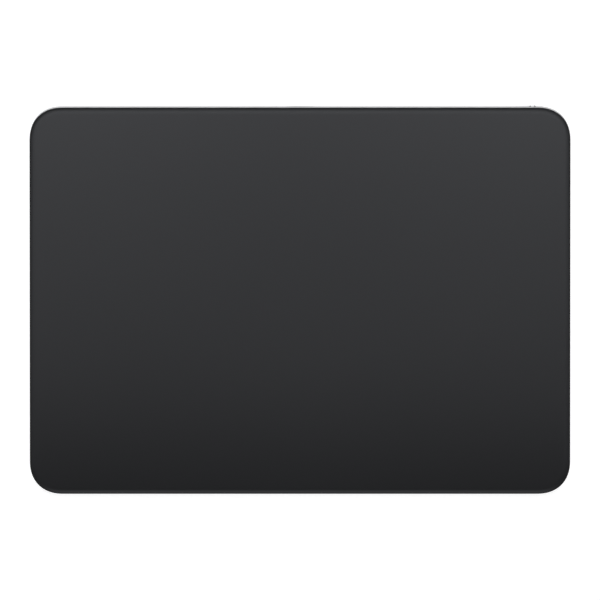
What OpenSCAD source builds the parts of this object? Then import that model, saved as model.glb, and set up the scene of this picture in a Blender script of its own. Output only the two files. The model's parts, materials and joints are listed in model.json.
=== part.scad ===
// Glass-topped desktop trackpad. A wedge-shaped metal enclosure carries a matt black glass plate from
// edge to edge and stands on four feet, each pushing on a small steel flexure with a strain gauge.
// Inside are a haptic actuator, a battery, a logic board, a charging port and a power switch.
// Millimetres. +Z is up, +Y is the rear, and the origin is on the desk under the middle.

/* [Body] */
// Width across the desk
body_w = 160; // [157:0.5:163]
// Depth from the front edge to the rear edge
body_d = 114.9; // [113:0.1:117]
// Height of the front edge of the glass above the desk
front_h = 4.9; // [4.8:0.05:5.2]
// Height of the rear edge of the glass above the desk
rear_h = 10.9; // [10.6:0.1:11.4]
// Corner radius seen from above
corner_r = 9; // [8:0.25:10]
// Radius of the lower edge of the enclosure
edge_fillet = 1.8; // [1.4:0.1:2.2]
// Thickness of the enclosure's side walls
wall_t = 4; // [3.6:0.1:4.4]
// Thickness of the deck under the touch sensor
deck_t = 0.8; // [0.7:0.05:0.9]
// Height of the enclosure's underside above the desk
foot_stand = 0.8; // [0.7:0.05:0.9]

/* [Glass and sensor] */
// Thickness of the touch glass
glass_t = 0.9; // [0.8:0.05:1]
// Width of the rounded rim of the glass
glass_rim_w = 2; // [1.6:0.1:2.1]
// Radius of the rounded rim of the glass
glass_rim_r = 3.6; // [3.5:0.1:4.4]
// How far the glass stays inside the outline of the enclosure
glass_inset = 0.05; // [0.05:0.05:0.3]
// Thickness of the adhesive frame under the glass
glass_bond_t = 0.15; // [0.1:0.05:0.2]
// How far the adhesive frame is set back from the outline
glass_bond_inset = 0.5; // [0.3:0.1:0.8]
// Thickness of the touch sensor board
sensor_t = 0.5; // [0.4:0.05:0.6]
// Thickness of the film under the touch sensor board
sensor_film_t = 0.1; // [0.05:0.05:0.15]
// Distance of the sensor recess from the outline
sensor_margin = 3; // [2.6:0.1:3.4]

/* [Underside] */
// Thickness of the bottom cover
cover_t = 0.8; // [0.7:0.05:0.85]
// Distance of the cover's recess from the outline
cover_inset = 2.6; // [2.4:0.1:2.8]
// Gap around the bottom cover
cover_gap = 0.1; // [0.05:0.05:0.2]
// Thickness of the adhesive frame above the cover
cover_bond_t = 0.15; // [0.1:0.05:0.2]

/* [Feet] */
// Distance of each foot from the left or right edge
foot_inset_x = 16; // [15.5:0.25:17]
// Distance of each foot from the front or rear edge
foot_inset_y = 13.5; // [13:0.25:15]
// Diameter of the foot pads
pad_d = 9; // [8:0.25:9.5]
// Thickness of the foot pads
pad_t = 1; // [0.95:0.05:1.2]
// Radius of the lower edge of the foot pads
pad_edge_r = 0.3; // [0.15:0.05:0.4]
// Gap around each pad in the bottom cover
pad_gap = 0.5; // [0.35:0.05:0.7]
// Diameter of the posts between pads and flexures
post_d = 7.5; // [6.5:0.25:8]
// Width of a flexure
flex_w = 11; // [10.5:0.25:12]
// Thickness of a flexure
flex_t = 0.5; // [0.4:0.05:0.5]
// Height of the flexures above the bottom cover
flex_rise = 0.6; // [0.55:0.05:0.65]
// Distance from a foot to the screws of its flexure
flex_reach = 15.5; // [15:0.25:17]
// Half the spacing of a flexure's two screws
flex_screw_x = 3.2; // [2.8:0.1:3.3]

/* [Haptic actuator] */
// Length of the actuator tray, across
tray_w = 52; // [50:1:56]
// Width of the actuator tray, front to rear
tray_l = 19; // [18:0.5:20]
// Thickness of the actuator tray's sheet
tray_t = 0.4; // [0.3:0.05:0.4]
// Depth of the tray below the deck
tray_h = 2.45; // [2.4:0.05:2.6]
// Distance of the tray's middle in front of the part's middle
tray_y = 11; // [10:0.25:12]
// Sideways travel of the moving mass, each way
mass_travel = 0.3; // [0.2:0.05:0.4]
// Thickness of the leaf springs
leaf_t = 0.2; // [0.15:0.05:0.3]

/* [Power and board] */
// Width of the battery
battery_w = 100; // [90:1:102]
// Length of the battery, front to rear
battery_l = 35; // [32:0.5:35]
// Thickness of the battery
battery_t = 3.7; // [3.3:0.1:3.8]
// Thickness of the battery's adhesive
battery_bond_t = 0.15; // [0.1:0.05:0.2]
// Thickness of the logic board
board_t = 0.8; // [0.6:0.1:1]
// Width of the logic board, front to rear
board_l = 9.7; // [9.4:0.1:9.9]
// Gap between the deck and the logic board
board_drop = 0.6; // [0.5:0.05:0.7]

/* [Rear panel] */
// Height of the port and switch above the desk
panel_z = 4.9; // [4.7:0.1:5]
// Width of the charging port's opening
port_w = 7.1; // [6.7:0.1:7.6]
// Height of the charging port's opening
port_h = 2; // [1.8:0.1:2.2]
// Thickness of the charging port's shell
port_wall = 0.35; // [0.25:0.05:0.4]
// How far the port's shell stays inside the rear face
port_lip = 0.25; // [0.15:0.05:0.5]
// Distance of the switch knob from the right edge, as photographed
knob_inset = 11.1; // [11:0.1:12]
// Length of the switch knob
knob_l = 3; // [2.6:0.1:3.2]
// Height of the switch knob
knob_h = 2; // [1.8:0.1:2.2]
// Sideways travel of the switch knob
knob_travel = 2.5; // [2:0.1:2.6]
// Gap around the switch knob in its slot
knob_gap = 0.1; // [0.08:0.01:0.15]
// Distance between the knob's two ribs
rib_pitch = 1.36; // [1.2:0.02:1.5]
// Width of a rib on the knob
rib_w = 0.5; // [0.4:0.05:0.6]
// How far the ribs stand out of the rear face
rib_h = 0.2; // [0.15:0.05:0.4]
// Wall left in front of the switch
panel_t = 1.3; // [1.1:0.1:1.5]

/* [Screws and ribbons] */
// Diameter of the screws' threads
screw_d = 1.4; // [1.2:0.1:1.5]
// Diameter of the screws' heads
head_d = 2.6; // [2.2:0.1:2.8]
// Thickness of the screws' heads
head_t = 0.4; // [0.3:0.05:0.45]
// Thread that goes into the deck
screw_bite = 0.35; // [0.2:0.05:0.4]
// Thickness of the ribbons
ribbon_t = 0.12; // [0.08:0.02:0.16]

/* [Hidden] */
$fn = 96;

// Small allowances
eps = 0.02;
thread_gap = 0.1;
pass_gap = 0.3;
seat_gap = 0.3;
far = 400;

// Slope of the glass, and the heights of planes parallel to it
slope = atan((rear_h - front_h) / body_d);
slope_l = body_d / cos(slope);
mid_h = (front_h + rear_h) / 2;
seat_depth = glass_t + glass_bond_t;
recess_depth = glass_t + sensor_t + sensor_film_t;
under_depth = recess_depth + deck_t;
function plane_z(y, depth) = mid_h + y * tan(slope) - depth / cos(slope);
function under_z(y) = plane_z(y, under_depth);

// Levels of the underside and the feet
foot_x = body_w / 2 - foot_inset_x;
foot_y = body_d / 2 - foot_inset_y;
base_z = foot_stand;
ledge_z = base_z + cover_t + cover_bond_t;
flex_z = base_z + cover_t + flex_rise;
flex_top = flex_z + flex_t;
rivet_d = 1.9;
rivet_t = 0.15;
flex_boss_d = 4.4;
flex_tip = 5;
flex_heel = 3;
neck_w = 6;
neck_from = 5.6;
neck_to = 11.4;
gauge_w = 4;
gauge_t = 0.08;
flex_bite = 1.1;
hole_d = screw_d + thread_gap;
pass_d = screw_d + pass_gap;

// Runs of the ribbons, measured from the feet so that they keep beside the flexures
force_run_in = 7.75;
force_run_x = foot_x - force_run_in;
force_run_w = 1.5;
force_tail_w = 3;
riser_gap = 3.5;
riser_y = foot_y - flex_reach + riser_gap;
tail_lap = 1;
riser_w = 0.8;
act_run_in = 11.2;
act_run_x = foot_x - act_run_in;
act_run_w = 1.6;

// Haptic actuator, in depths below the deck
tray_top = 0.2;
tray_floor = tray_h - tray_t;
ear_d = 1;
ear_t = 0.4;
ear_l = 5.6;
ear_w = 4;
ear_y = 5.5;
ear_screw_out = 3;
ear_x = tray_w / 2 + ear_screw_out;
ear_boss_d = 4;
mass_top = 0.45;
mass_low = tray_floor - 0.25;
mass_end_in = 5;
mass_side_in = 1.3;
mass_end = tray_w / 2 - mass_end_in;
mass_half = tray_l / 2 - mass_side_in;
window_x = 11.5;
window_y = 4.4;
pole_x = 8.4;
pole_y = 3.2;
pole_t = 1.4;
bar_y = 1.6;
bar_top = 0.65;
bar_low = tray_floor - 0.4;
coil_y = 2.7;
coil_top = 0.35;
coil_low = tray_floor - 0.1;
coil_from = 1.5;
coil_to = 6.6;
coil_gap = 0.05;
magnet_t = 2.4 - mass_travel;
leaf_in = 3;
leaf_x = tray_w / 2 - leaf_in;
nub_y = 1.5;
leaf_foot = 1.5;

// Battery and logic board, in depths below the deck
battery_r = 2;
battery_low = battery_bond_t + battery_t;
terrace_l = 1.9;
terrace_t = 0.8;
board_end_in = 6;
board_x = foot_x - board_end_in;
board_rear = 5.23;
board_y = slope_l / 2 - board_rear - board_l;
board_low = board_drop + board_t;
battery_clear = 1.2;
battery_y = board_y - battery_clear - terrace_l - battery_l;
board_notch_x = 11;
board_notch_y = 4.7;
board_boss_d = 3.6;
board_screw_in = 2.1;
board_screw_y = board_y + board_l - board_screw_in;
board_screw_x = [-0.664, -0.25, 0.25, 0.7] * board_x;
chip_t = 0.9;
processor_x = -0.345 * board_x;
processor_l = 6.4;
touch_chip_x = -0.517 * board_x;
touch_chip_w = 8;
touch_chip_l = 6.8;
power_chip_x = 0.517 * board_x;
power_chip_l = 5;
driver_chip_x = 0.8 * board_x;
driver_chip_l = 4;
shield_t = 1.4;
shield_w = 0.19 * board_x;
shield_l = 8;
shield_inset_x = 4.6;
shield_inset_y = 0.8;
shield_sheet = 0.2;
antenna_w = 2;
antenna_l = 6.5;
antenna_t = 1;
antenna_inset_x = 0.5;
antenna_inset_y = 1.5;
force_conn_w = 2.4;
act_conn_w = 2;
conn_inset = 1.2;
conn_y = board_y + conn_inset;
conn_l = 3;
plug_t = 0.8;
plug_x = 0.345 * board_x;
plug_w = 6;
plug_margin = 0.5;
guard_left = 16;
guard_right = 8;
guard_gap = 0.1;
battery_bond_margin = 3;

// Touch ribbon through the deck
touch_x = -0.414 * board_x;
touch_w = 16;
touch_slot_l = 1.2;
touch_clear = 1.1;
touch_y = board_y - touch_clear;

// Rear panel
rear_y = body_d / 2;
inner_y = rear_y - wall_t;
port_l = 10.6;
port_y0 = rear_y - port_l;
port_y1 = rear_y - port_lip;
port_out_w = port_w + 2 * port_wall;
port_out_h = port_h + 2 * port_wall;
port_gap = 0.1;
block_l = 2.6;
block_flange = 0.8;
contact_l = 4.2;
contact_w = 0.4;
contact_t = 0.25;
contact_pitch = 0.74;
strap_t = 0.4;
strap_gap = 0.1;
strap_rear = 5.6;
strap_w = 3.4;
strap_y0 = rear_y - strap_rear - strap_w;
strap_y1 = rear_y - strap_rear;
strap_in = port_out_w / 2 + strap_gap;
strap_ear_rise = 0.2;
strap_ear_z = panel_z + strap_ear_rise;
strap_ear_l = 5;
strap_ear_x = strap_in + strap_ear_l;
port_boss_d = 3.6;
port_screw_in = 2.8;
port_screw_x = strap_in + port_screw_in;
port_screw_y = (strap_y0 + strap_y1) / 2;
port_bite = 1.8;
port_run_w = 5;
port_run_in = 2.4;
port_run_low = 0.9;
knob_x = body_w / 2 - knob_inset;
slot_l = knob_l + knob_travel + 2 * knob_gap;
slot_x = knob_x - knob_travel / 2;
slot_h = knob_h + 2 * knob_gap;
slot_r = 0.6;
pocket_y = rear_y - panel_t;
switch_end = 1.8;
switch_rim = 0.5;
switch_l = slot_l + 2 * switch_end;
switch_h = slot_h + 2 * switch_rim;
switch_depth = 7.25;
switch_y0 = rear_y - switch_depth;
switch_wall = 0.55;
switch_face_t = 0.85;
slide_l = 3.4;
slide_gap = 0.15;
stem_l = 1.4;
stem_h = 0.8;
stem_gap = 0.1;
knob_back = 0.15;
stem_end = rear_y - 0.45;
terminal_t = 0.6;
bracket_t = 0.4;
bracket_l = 8;
bracket_back = 4.2;
bracket_edge = 2;
switch_boss_d = 3.6;
switch_screw_x = 2.2;
switch_run_lap = 4;
switch_run_margin = 0.5;
switch_run_end = 3;
switch_run_low = 0.4;
switch_run_high = 0.9;
switch_run_in = 2.6;

// A rectangle with round corners
module rrect(w, d, r) {
    difference() {
        square([w, d], center = true);
        for (sx = [-1, 1], sy = [-1, 1])
            scale_sign(sx, sy)
                translate([w / 2 - r, d / 2 - r])
                    difference() {
                        square([r + 1, r + 1]);
                        circle(r);
                    }
    }
}

// Repeats a shape in one of the four quarters
module scale_sign(sx, sy) {
    mirror([sx < 0 ? 1 : 0, 0, 0])
        mirror([0, sy < 0 ? 1 : 0, 0])
            children();
}

// Raises a drawing of x and z along y
module along_y(y0, y1) {
    translate([0, y1, 0])
        rotate([90, 0, 0])
            linear_extrude(y1 - y0)
                children();
}

// Raises a drawing of y and z along x
module along_x(x0, x1) {
    translate([x0, 0, 0])
        rotate([90, 0, 90])
            linear_extrude(x1 - x0)
                children();
}

// A box between two corners
module box(x0, x1, y0, y1, z0, z1) {
    translate([x0, y0, z0])
        cube([x1 - x0, y1 - y0, z1 - z0]);
}

// A plate whose rim section, drawn outwards from the corner's centre, goes all the way round
module rimmed_plate(w, d, r, h) {
    box(-w / 2 + r, w / 2 - r, -d / 2 + r, d / 2 - r, 0, h);
    for (a = [0, 180]) {
        rotate(a)
            translate([w / 2 - r, 0, 0])
                along_y(-d / 2 + r, d / 2 - r)
                    children();
        rotate(a + 90)
            translate([d / 2 - r, 0, 0])
                along_y(-w / 2 + r, w / 2 - r)
                    children();
    }
    for (q = [[1, 1, 0], [-1, 1, 90], [-1, -1, 180], [1, -1, 270]])
        translate([q[0] * (w / 2 - r), q[1] * (d / 2 - r), 0])
            rotate(q[2])
                rotate_extrude(angle = 90)
                    children();
}

// Places a piece in the sloping frame, at a depth under the glass's upper face
module on_slope(depth) {
    translate([0, 0, mid_h])
        rotate([slope, 0, 0])
            translate([0, 0, -depth])
                children();
}

// Places a piece under the deck, at a depth below it
module hung(u, v, d) {
    on_slope(under_depth)
        translate([u, v, -d])
            children();
}

// A box under the deck, between two depths
module slab(u0, u1, v0, v1, d0, d1) {
    on_slope(under_depth)
        box(u0, u1, v0, v1, -d1, -d0);
}

// Everything above a plane parallel to the glass
module above(depth) {
    on_slope(depth)
        box(-far, far, -far, far, 0, 40);
}

// A screw that stands on its head, with a hexagonal drive
module screw(len) {
    difference() {
        union() {
            translate([0, 0, -head_t])
                cylinder(d = head_d, h = head_t);
            cylinder(d = screw_d, h = len);
        }
        translate([0, 0, -head_t - 1])
            cylinder(d = head_d * 0.46, h = head_t * 0.55 + 1, $fn = 6);
    }
}

// Section of the enclosure's rim, with its round lower edge
module shell_section() {
    difference() {
        square([corner_r, rear_h]);
        translate([corner_r - edge_fillet, 0])
            difference() {
                translate([0, -1])
                    square([edge_fillet + 1, edge_fillet + 1]);
                translate([0, edge_fillet])
                    circle(edge_fillet);
            }
    }
}

// Section of the glass's rim, falling away from the flat upper face
module glass_section() {
    glass_r = corner_r - glass_inset;
    difference() {
        square([glass_r, glass_t]);
        translate([glass_r - glass_rim_w, glass_t - glass_rim_r])
            difference() {
                square([glass_rim_w + 1, glass_rim_r + 1]);
                circle(glass_rim_r);
            }
    }
}

// Places of the flexures' screws
module at_flex_screws() {
    for (sx = [-1, 1], sy = [-1, 1], side = [-1, 1])
        translate([sx * foot_x + side * flex_screw_x, sy * (foot_y - flex_reach), 0])
            children();
}

// Places of the actuator's screws, on the deck
module at_ear_screws(d) {
    for (sx = [-1, 1], sy = [-1, 1])
        hung(sx * ear_x, -tray_y + sy * ear_y, d)
            children();
}

// Places of the logic board's screws, on the deck
module at_board_screws(d) {
    for (u = board_screw_x)
        hung(u, board_screw_y, d)
            children();
}

// Places of the switch bracket's screws, on the deck
module at_switch_screws(d) {
    for (s = [-1, 1])
        hung(slot_x + s * switch_screw_x, switch_y0 - bracket_back, d)
            children();
}

// Bosses that hang from the deck
module deck_bosses() {
    for (sy = [-1, 1])
        for (sx = [-1, 1], side = [-1, 1])
            translate([sx * foot_x + side * flex_screw_x, sy * (foot_y - flex_reach), flex_top])
                cylinder(d = flex_boss_d, h = under_z(sy * (foot_y - flex_reach)) + deck_t / 2 - flex_top);
    at_ear_screws(ear_d)
        cylinder(d = ear_boss_d, h = ear_d + deck_t / 2);
    at_board_screws(board_drop)
        cylinder(d = board_boss_d, h = board_drop + deck_t / 2);
    at_switch_screws(board_drop)
        cylinder(d = switch_boss_d, h = board_drop + deck_t / 2);
    for (s = [-1, 1])
        translate([s * port_screw_x, port_screw_y, strap_ear_z + strap_t])
            cylinder(d = port_boss_d, h = under_z(port_screw_y) + deck_t / 2 - strap_ear_z - strap_t);
}

// Threaded holes in the bosses
module deck_holes() {
    at_flex_screws()
        translate([0, 0, flex_top - eps])
            cylinder(d = hole_d, h = flex_bite + 0.1);
    at_ear_screws(ear_d + eps)
        cylinder(d = hole_d, h = ear_d + screw_bite + 0.07);
    at_board_screws(board_drop + eps)
        cylinder(d = hole_d, h = board_drop + screw_bite + 0.07);
    at_switch_screws(board_drop + eps)
        cylinder(d = hole_d, h = board_drop + screw_bite + 0.07);
    for (s = [-1, 1])
        translate([s * port_screw_x, port_screw_y, strap_ear_z + strap_t - eps])
            cylinder(d = hole_d, h = port_bite + 0.1);
}

// Metal enclosure: side walls and deck in one piece, open below
module enclosure() {
    color([0.5, 0.51, 0.52])
        difference() {
            union() {
                difference() {
                    translate([0, 0, base_z])
                        rimmed_plate(body_w, body_d, corner_r, rear_h)
                            shell_section();
                    above(seat_depth);
                    on_slope(recess_depth)
                        linear_extrude(5)
                            rrect(body_w - 2 * sensor_margin, slope_l - 2 * sensor_margin,
                                corner_r - sensor_margin);
                    difference() {
                        linear_extrude(rear_h)
                            rrect(body_w - 2 * wall_t, body_d - 2 * wall_t, corner_r - wall_t);
                        above(under_depth);
                    }
                    linear_extrude(ledge_z)
                        rrect(body_w - 2 * cover_inset, body_d - 2 * cover_inset, corner_r - cover_inset);
                }
                deck_bosses();
            }
            deck_holes();
            hung(touch_x, touch_y, 1)
                box(-touch_w / 2 - 0.5, touch_w / 2 + 0.5, -touch_slot_l / 2, touch_slot_l / 2, 0, 5);
            translate([0, 0, panel_z])
                along_y(inner_y - 1, rear_y + 1)
                    rrect(port_out_w + 2 * port_gap, port_out_h + 2 * port_gap, port_out_h / 2 + port_gap);
            translate([slot_x, 0, panel_z])
                along_y(pocket_y - 1, rear_y + 1)
                    rrect(slot_l, slot_h, slot_r);
            translate([slot_x, 0, panel_z])
                box(-switch_l / 2 - 0.1, switch_l / 2 + 0.1, inner_y - 1, pocket_y,
                    -switch_h / 2 - 0.1, switch_h / 2 + 0.1);
        }
}

// Matt black glass plate with a softly rounded rim
module touch_glass() {
    color([0.05, 0.05, 0.055])
        on_slope(glass_t)
            rimmed_plate(body_w - 2 * glass_inset, slope_l - 2 * glass_inset,
                corner_r - glass_inset, glass_t)
                glass_section();
}

// Adhesive frame between the glass and the enclosure
module glass_adhesive() {
    color([0.1, 0.1, 0.1])
        on_slope(seat_depth)
            linear_extrude(glass_bond_t)
                difference() {
                    rrect(body_w - 2 * glass_bond_inset, slope_l - 2 * glass_bond_inset,
                        corner_r - glass_bond_inset);
                    rrect(body_w - 2 * sensor_margin, slope_l - 2 * sensor_margin,
                        corner_r - sensor_margin);
                }
}

// Touch sensor board, on the underside of the glass
module touch_sensor_board() {
    color([0.1, 0.35, 0.2])
        on_slope(glass_t + sensor_t)
            linear_extrude(sensor_t)
                rrect(body_w - 2 * sensor_margin - 2 * seat_gap, slope_l - 2 * sensor_margin - 2 * seat_gap,
                    corner_r - sensor_margin - seat_gap);
}

// Film that bonds the sensor board to the deck, cut away around the touch ribbon
module sensor_film() {
    color([0.75, 0.72, 0.5])
        on_slope(recess_depth)
            linear_extrude(sensor_film_t)
                difference() {
                    rrect(body_w - 2 * sensor_margin - 4, slope_l - 2 * sensor_margin - 4,
                        corner_r - sensor_margin - 2);
                    translate([touch_x, touch_y])
                        square([touch_w + 2, touch_slot_l + 1], center = true);
                }
}

// Cover that closes the enclosure from below, with a hole for each foot
module bottom_cover() {
    color([0.6, 0.61, 0.62])
        translate([0, 0, base_z])
            linear_extrude(cover_t)
                difference() {
                    rrect(body_w - 2 * (cover_inset + cover_gap), body_d - 2 * (cover_inset + cover_gap),
                        corner_r - cover_inset - cover_gap);
                    for (sx = [-1, 1], sy = [-1, 1])
                        translate([sx * foot_x, sy * foot_y])
                            circle(d = pad_d + 2 * pad_gap);
                }
}

// Adhesive frame between the cover and the enclosure's ledge
module cover_adhesive() {
    color([0.12, 0.12, 0.12])
        translate([0, 0, base_z + cover_t])
            linear_extrude(cover_bond_t)
                difference() {
                    rrect(body_w - 2 * cover_inset - 0.5, body_d - 2 * cover_inset - 0.5,
                        corner_r - cover_inset - 0.25);
                    rrect(body_w - 2 * wall_t + 0.2, body_d - 2 * wall_t + 0.2, corner_r - wall_t + 0.1);
                }
}

// Rubber pad that stands on the desk
module foot_pad(sx, sy) {
    color([0.2, 0.2, 0.21])
        translate([sx * foot_x, sy * foot_y, 0])
            rotate_extrude()
                difference() {
                    square([pad_d / 2, pad_t]);
                    translate([pad_d / 2 - pad_edge_r, 0])
                        difference() {
                            translate([0, -1])
                                square([pad_edge_r + 1, pad_edge_r + 1]);
                            translate([0, pad_edge_r])
                                circle(pad_edge_r);
                        }
                }
}

// Post between a pad and its flexure, riveted through the flexure
module foot_post(sx, sy) {
    color([0.86, 0.86, 0.84])
        translate([sx * foot_x, sy * foot_y, 0]) {
            translate([0, 0, pad_t])
                cylinder(d = post_d, h = flex_z - pad_t);
            translate([0, 0, pad_t + 0.2])
                cylinder(d = rivet_d, h = flex_top + rivet_t - pad_t - 0.2);
        }
}

// Steel flexure with a narrow neck between the foot and its two screws
module flexure(sx, sy) {
    color([0.66, 0.67, 0.69])
        translate([0, 0, flex_z])
            linear_extrude(flex_t)
                scale_sign(sx, sy)
                    translate([foot_x, foot_y])
                        difference() {
                            translate([-flex_w / 2, -flex_reach - flex_heel])
                                square([flex_w, flex_reach + flex_heel + flex_tip]);
                            for (s = [-1, 1])
                                translate([s * (neck_w / 2 + flex_w / 2), -(neck_from + neck_to) / 2])
                                    square([flex_w, neck_to - neck_from], center = true);
                            circle(d = rivet_d + 0.1);
                            for (s = [-1, 1])
                                translate([s * flex_screw_x, -flex_reach])
                                    circle(d = pass_d);
                        }
}

// Strain gauges on the necks of the flexures
module strain_gauges() {
    color([0.8, 0.5, 0.25])
        for (sx = [-1, 1], sy = [-1, 1])
            scale_sign(sx, sy)
                box(foot_x - gauge_w / 2, foot_x + gauge_w / 2, foot_y - neck_to, foot_y - neck_from - 0.4,
                    flex_top, flex_top + gauge_t);
}

// Screws of the flexures
module flexure_screws() {
    color([0.5, 0.5, 0.52])
        at_flex_screws()
            translate([0, 0, flex_z])
                screw(flex_t + flex_bite);
}

// Ribbon from a side's two strain gauges to the logic board, kept to the deck
module force_ribbon(sx) {
    color([0.72, 0.45, 0.15])
        mirror([sx < 0 ? 1 : 0, 0, 0]) {
            for (sy = [-1, 1]) {
                mirror([0, sy < 0 ? 1 : 0, 0])
                    box(foot_x - force_tail_w / 2, foot_x + force_tail_w / 2,
                        riser_y, foot_y - neck_to + tail_lap,
                        flex_top + gauge_t, flex_top + gauge_t + ribbon_t);
                mirror([0, sy < 0 ? 1 : 0, 0])
                    box(foot_x - force_tail_w / 2, foot_x + force_tail_w / 2, riser_y, riser_y + ribbon_t,
                        flex_top + gauge_t, under_z(sy * riser_y) - ribbon_t / 2);
                slab(force_run_x - force_run_w / 2, foot_x + force_tail_w / 2,
                    sy * riser_y - riser_w, sy * riser_y + riser_w, 0, ribbon_t);
            }
            slab(force_run_x - force_run_w / 2, force_run_x + force_run_w / 2,
                -riser_y - riser_w, conn_y + conn_l, 0, ribbon_t);
        }
}

// Stamped tray of the haptic actuator, screwed under the deck by its ears
module actuator_tray() {
    color([0.62, 0.63, 0.65])
        hung(0, -tray_y, 0)
            difference() {
                union() {
                    box(-tray_w / 2, tray_w / 2, -tray_l / 2, tray_l / 2, -tray_h, -tray_top);
                    for (sx = [-1, 1], sy = [-1, 1])
                        scale_sign(sx, sy)
                            box(tray_w / 2 - 0.2, tray_w / 2 + ear_l, ear_y - ear_w / 2, ear_y + ear_w / 2,
                                -ear_d - ear_t, -ear_d);
                }
                box(-tray_w / 2 + tray_t, tray_w / 2 - tray_t, -tray_l / 2 + tray_t, tray_l / 2 - tray_t,
                    -tray_floor, 1);
                for (sx = [-1, 1], sy = [-1, 1])
                    translate([sx * ear_x, sy * ear_y, -ear_d - ear_t - 1])
                        cylinder(d = pass_d, h = ear_t + 2);
            }
}

// Iron core with two poles, standing on the tray's floor
module actuator_core() {
    color([0.3, 0.3, 0.32])
        hung(0, -tray_y, 0) {
            box(-pole_x, pole_x, -bar_y, bar_y, -bar_low, -bar_top);
            for (s = [-1, 1])
                mirror([s < 0 ? 1 : 0, 0, 0])
                    box(pole_x - pole_t, pole_x, -pole_y, pole_y, -tray_floor + 0.2, -mass_top);
            box(-coil_from + 0.3, coil_from - 0.3, -bar_y, bar_y, -tray_floor, -bar_top);
        }
}

// Two copper coils around the core
module actuator_coils() {
    color([0.72, 0.38, 0.2])
        hung(0, -tray_y, 0)
            for (s = [-1, 1])
                mirror([s < 0 ? 1 : 0, 0, 0])
                    difference() {
                        box(coil_from, coil_to, -coil_y, coil_y, -coil_low, -coil_top);
                        box(coil_from - 1, coil_to + 1, -bar_y - coil_gap, bar_y + coil_gap,
                            -bar_low - coil_gap, -bar_top + coil_gap);
                    }
}

// Heavy moving mass with a window for the coils and a nub for each leaf spring
module actuator_mass() {
    color([0.36, 0.37, 0.38])
        hung(0, -tray_y, 0)
            difference() {
                union() {
                    box(-mass_end, mass_end, -mass_half, mass_half, -mass_low, -mass_top);
                    box(-leaf_x, leaf_x, -nub_y, nub_y, -mass_low + 0.1, -mass_top - 0.1);
                }
                box(-window_x, window_x, -window_y, window_y, -mass_low - 1, 1);
            }
}

// Two magnets in the ends of the mass's window
module actuator_magnets() {
    color([0.55, 0.55, 0.57])
        hung(0, -tray_y, 0)
            for (s = [-1, 1])
                mirror([s < 0 ? 1 : 0, 0, 0])
                    box(window_x - magnet_t, window_x, -pole_y, pole_y, -mass_low + 0.1, -mass_top - 0.1);
}

// Leaf spring between the mass and the tray's long walls
module actuator_spring(sx) {
    leaf_y = tray_l / 2 - tray_t;
    color([0.74, 0.75, 0.76])
        hung(0, -tray_y, 0)
            mirror([sx < 0 ? 1 : 0, 0, 0]) {
                box(leaf_x, leaf_x + leaf_t, -leaf_y, leaf_y, -mass_low + 0.1, -mass_top - 0.1);
                for (s = [-1, 1])
                    mirror([0, s < 0 ? 1 : 0, 0])
                        box(leaf_x, leaf_x + leaf_foot, leaf_y - leaf_t, leaf_y,
                            -mass_low + 0.1, -mass_top - 0.1);
            }
}

// Screws of the actuator's ears
module actuator_screws() {
    color([0.5, 0.5, 0.52])
        at_ear_screws(ear_d + ear_t)
            screw(ear_t + ear_d + screw_bite);
}

// Ribbon from the coils to the logic board, kept to the deck
module actuator_ribbon() {
    color([0.72, 0.45, 0.15]) {
        slab(coil_from + 0.5, act_run_x + act_run_w / 2, -tray_y - 1, -tray_y + 1, 0, ribbon_t);
        slab(coil_from + 0.5, coil_to - 0.5, -tray_y - 1, -tray_y + 1, 0, coil_top);
        slab(act_run_x - act_run_w / 2, act_run_x + act_run_w / 2,
            -tray_y - 1, conn_y + conn_l, 0, ribbon_t);
    }
}

// Pouch battery with a thin terrace at its rear end
module battery() {
    color([0.28, 0.29, 0.3]) {
        hung(0, battery_y + battery_l / 2, battery_low)
            linear_extrude(battery_t)
                rrect(battery_w, battery_l, battery_r);
        slab(-battery_w / 2 + 6, battery_w / 2 - 6, battery_y + battery_l - 1,
            battery_y + battery_l + terrace_l, battery_bond_t, battery_bond_t + terrace_t);
    }
}

// Adhesive strips between the battery and the deck
module battery_adhesive() {
    color([0.85, 0.85, 0.8])
        for (s = [-1, 1])
            slab(s * battery_w / 4 - battery_w / 6, s * battery_w / 4 + battery_w / 6,
                battery_y + battery_bond_margin, battery_y + battery_l - battery_bond_margin,
                0, battery_bond_t);
}

// Protection board on the battery's terrace
module battery_protection_board() {
    color([0.1, 0.35, 0.2])
        slab(plug_x - guard_left, plug_x + guard_right,
            battery_y + battery_l + guard_gap, battery_y + battery_l + terrace_l,
            battery_bond_t + terrace_t, board_low + plug_t);
}

// Connector of the battery on the logic board's underside
module battery_connector() {
    color([0.88, 0.86, 0.8])
        slab(plug_x - plug_w / 2, plug_x + plug_w / 2, conn_y, conn_y + conn_l,
            board_low, board_low + plug_t);
}

// Short flat cable from the protection board to the connector
module battery_cable() {
    color([0.72, 0.45, 0.15])
        slab(plug_x - plug_w / 2 + plug_margin, plug_x + plug_w / 2 - plug_margin,
            battery_y + battery_l + 3 * guard_gap, conn_y + conn_l,
            board_low + plug_t, board_low + plug_t + ribbon_t);
}

// Logic board along the rear wall, notched around the charging port
module logic_board() {
    color([0.08, 0.3, 0.2])
        hung(0, 0, board_low)
            linear_extrude(board_t)
                difference() {
                    translate([-board_x, board_y])
                        square([2 * board_x, board_l]);
                    translate([-board_notch_x, board_y + board_l - board_notch_y])
                        square([2 * board_notch_x, board_notch_y + 1]);
                    for (u = board_screw_x)
                        translate([u, board_screw_y])
                            circle(d = pass_d);
                }
}

// Screws of the logic board
module board_screws() {
    color([0.5, 0.5, 0.52])
        at_board_screws(board_low)
            screw(board_low + screw_bite);
}

// A chip on the logic board's underside
module chip(u, w, l) {
    v = board_y + board_l / 2;
    slab(u - w / 2, u + w / 2, v - l / 2, v + l / 2, board_low, board_low + chip_t);
}

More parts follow.
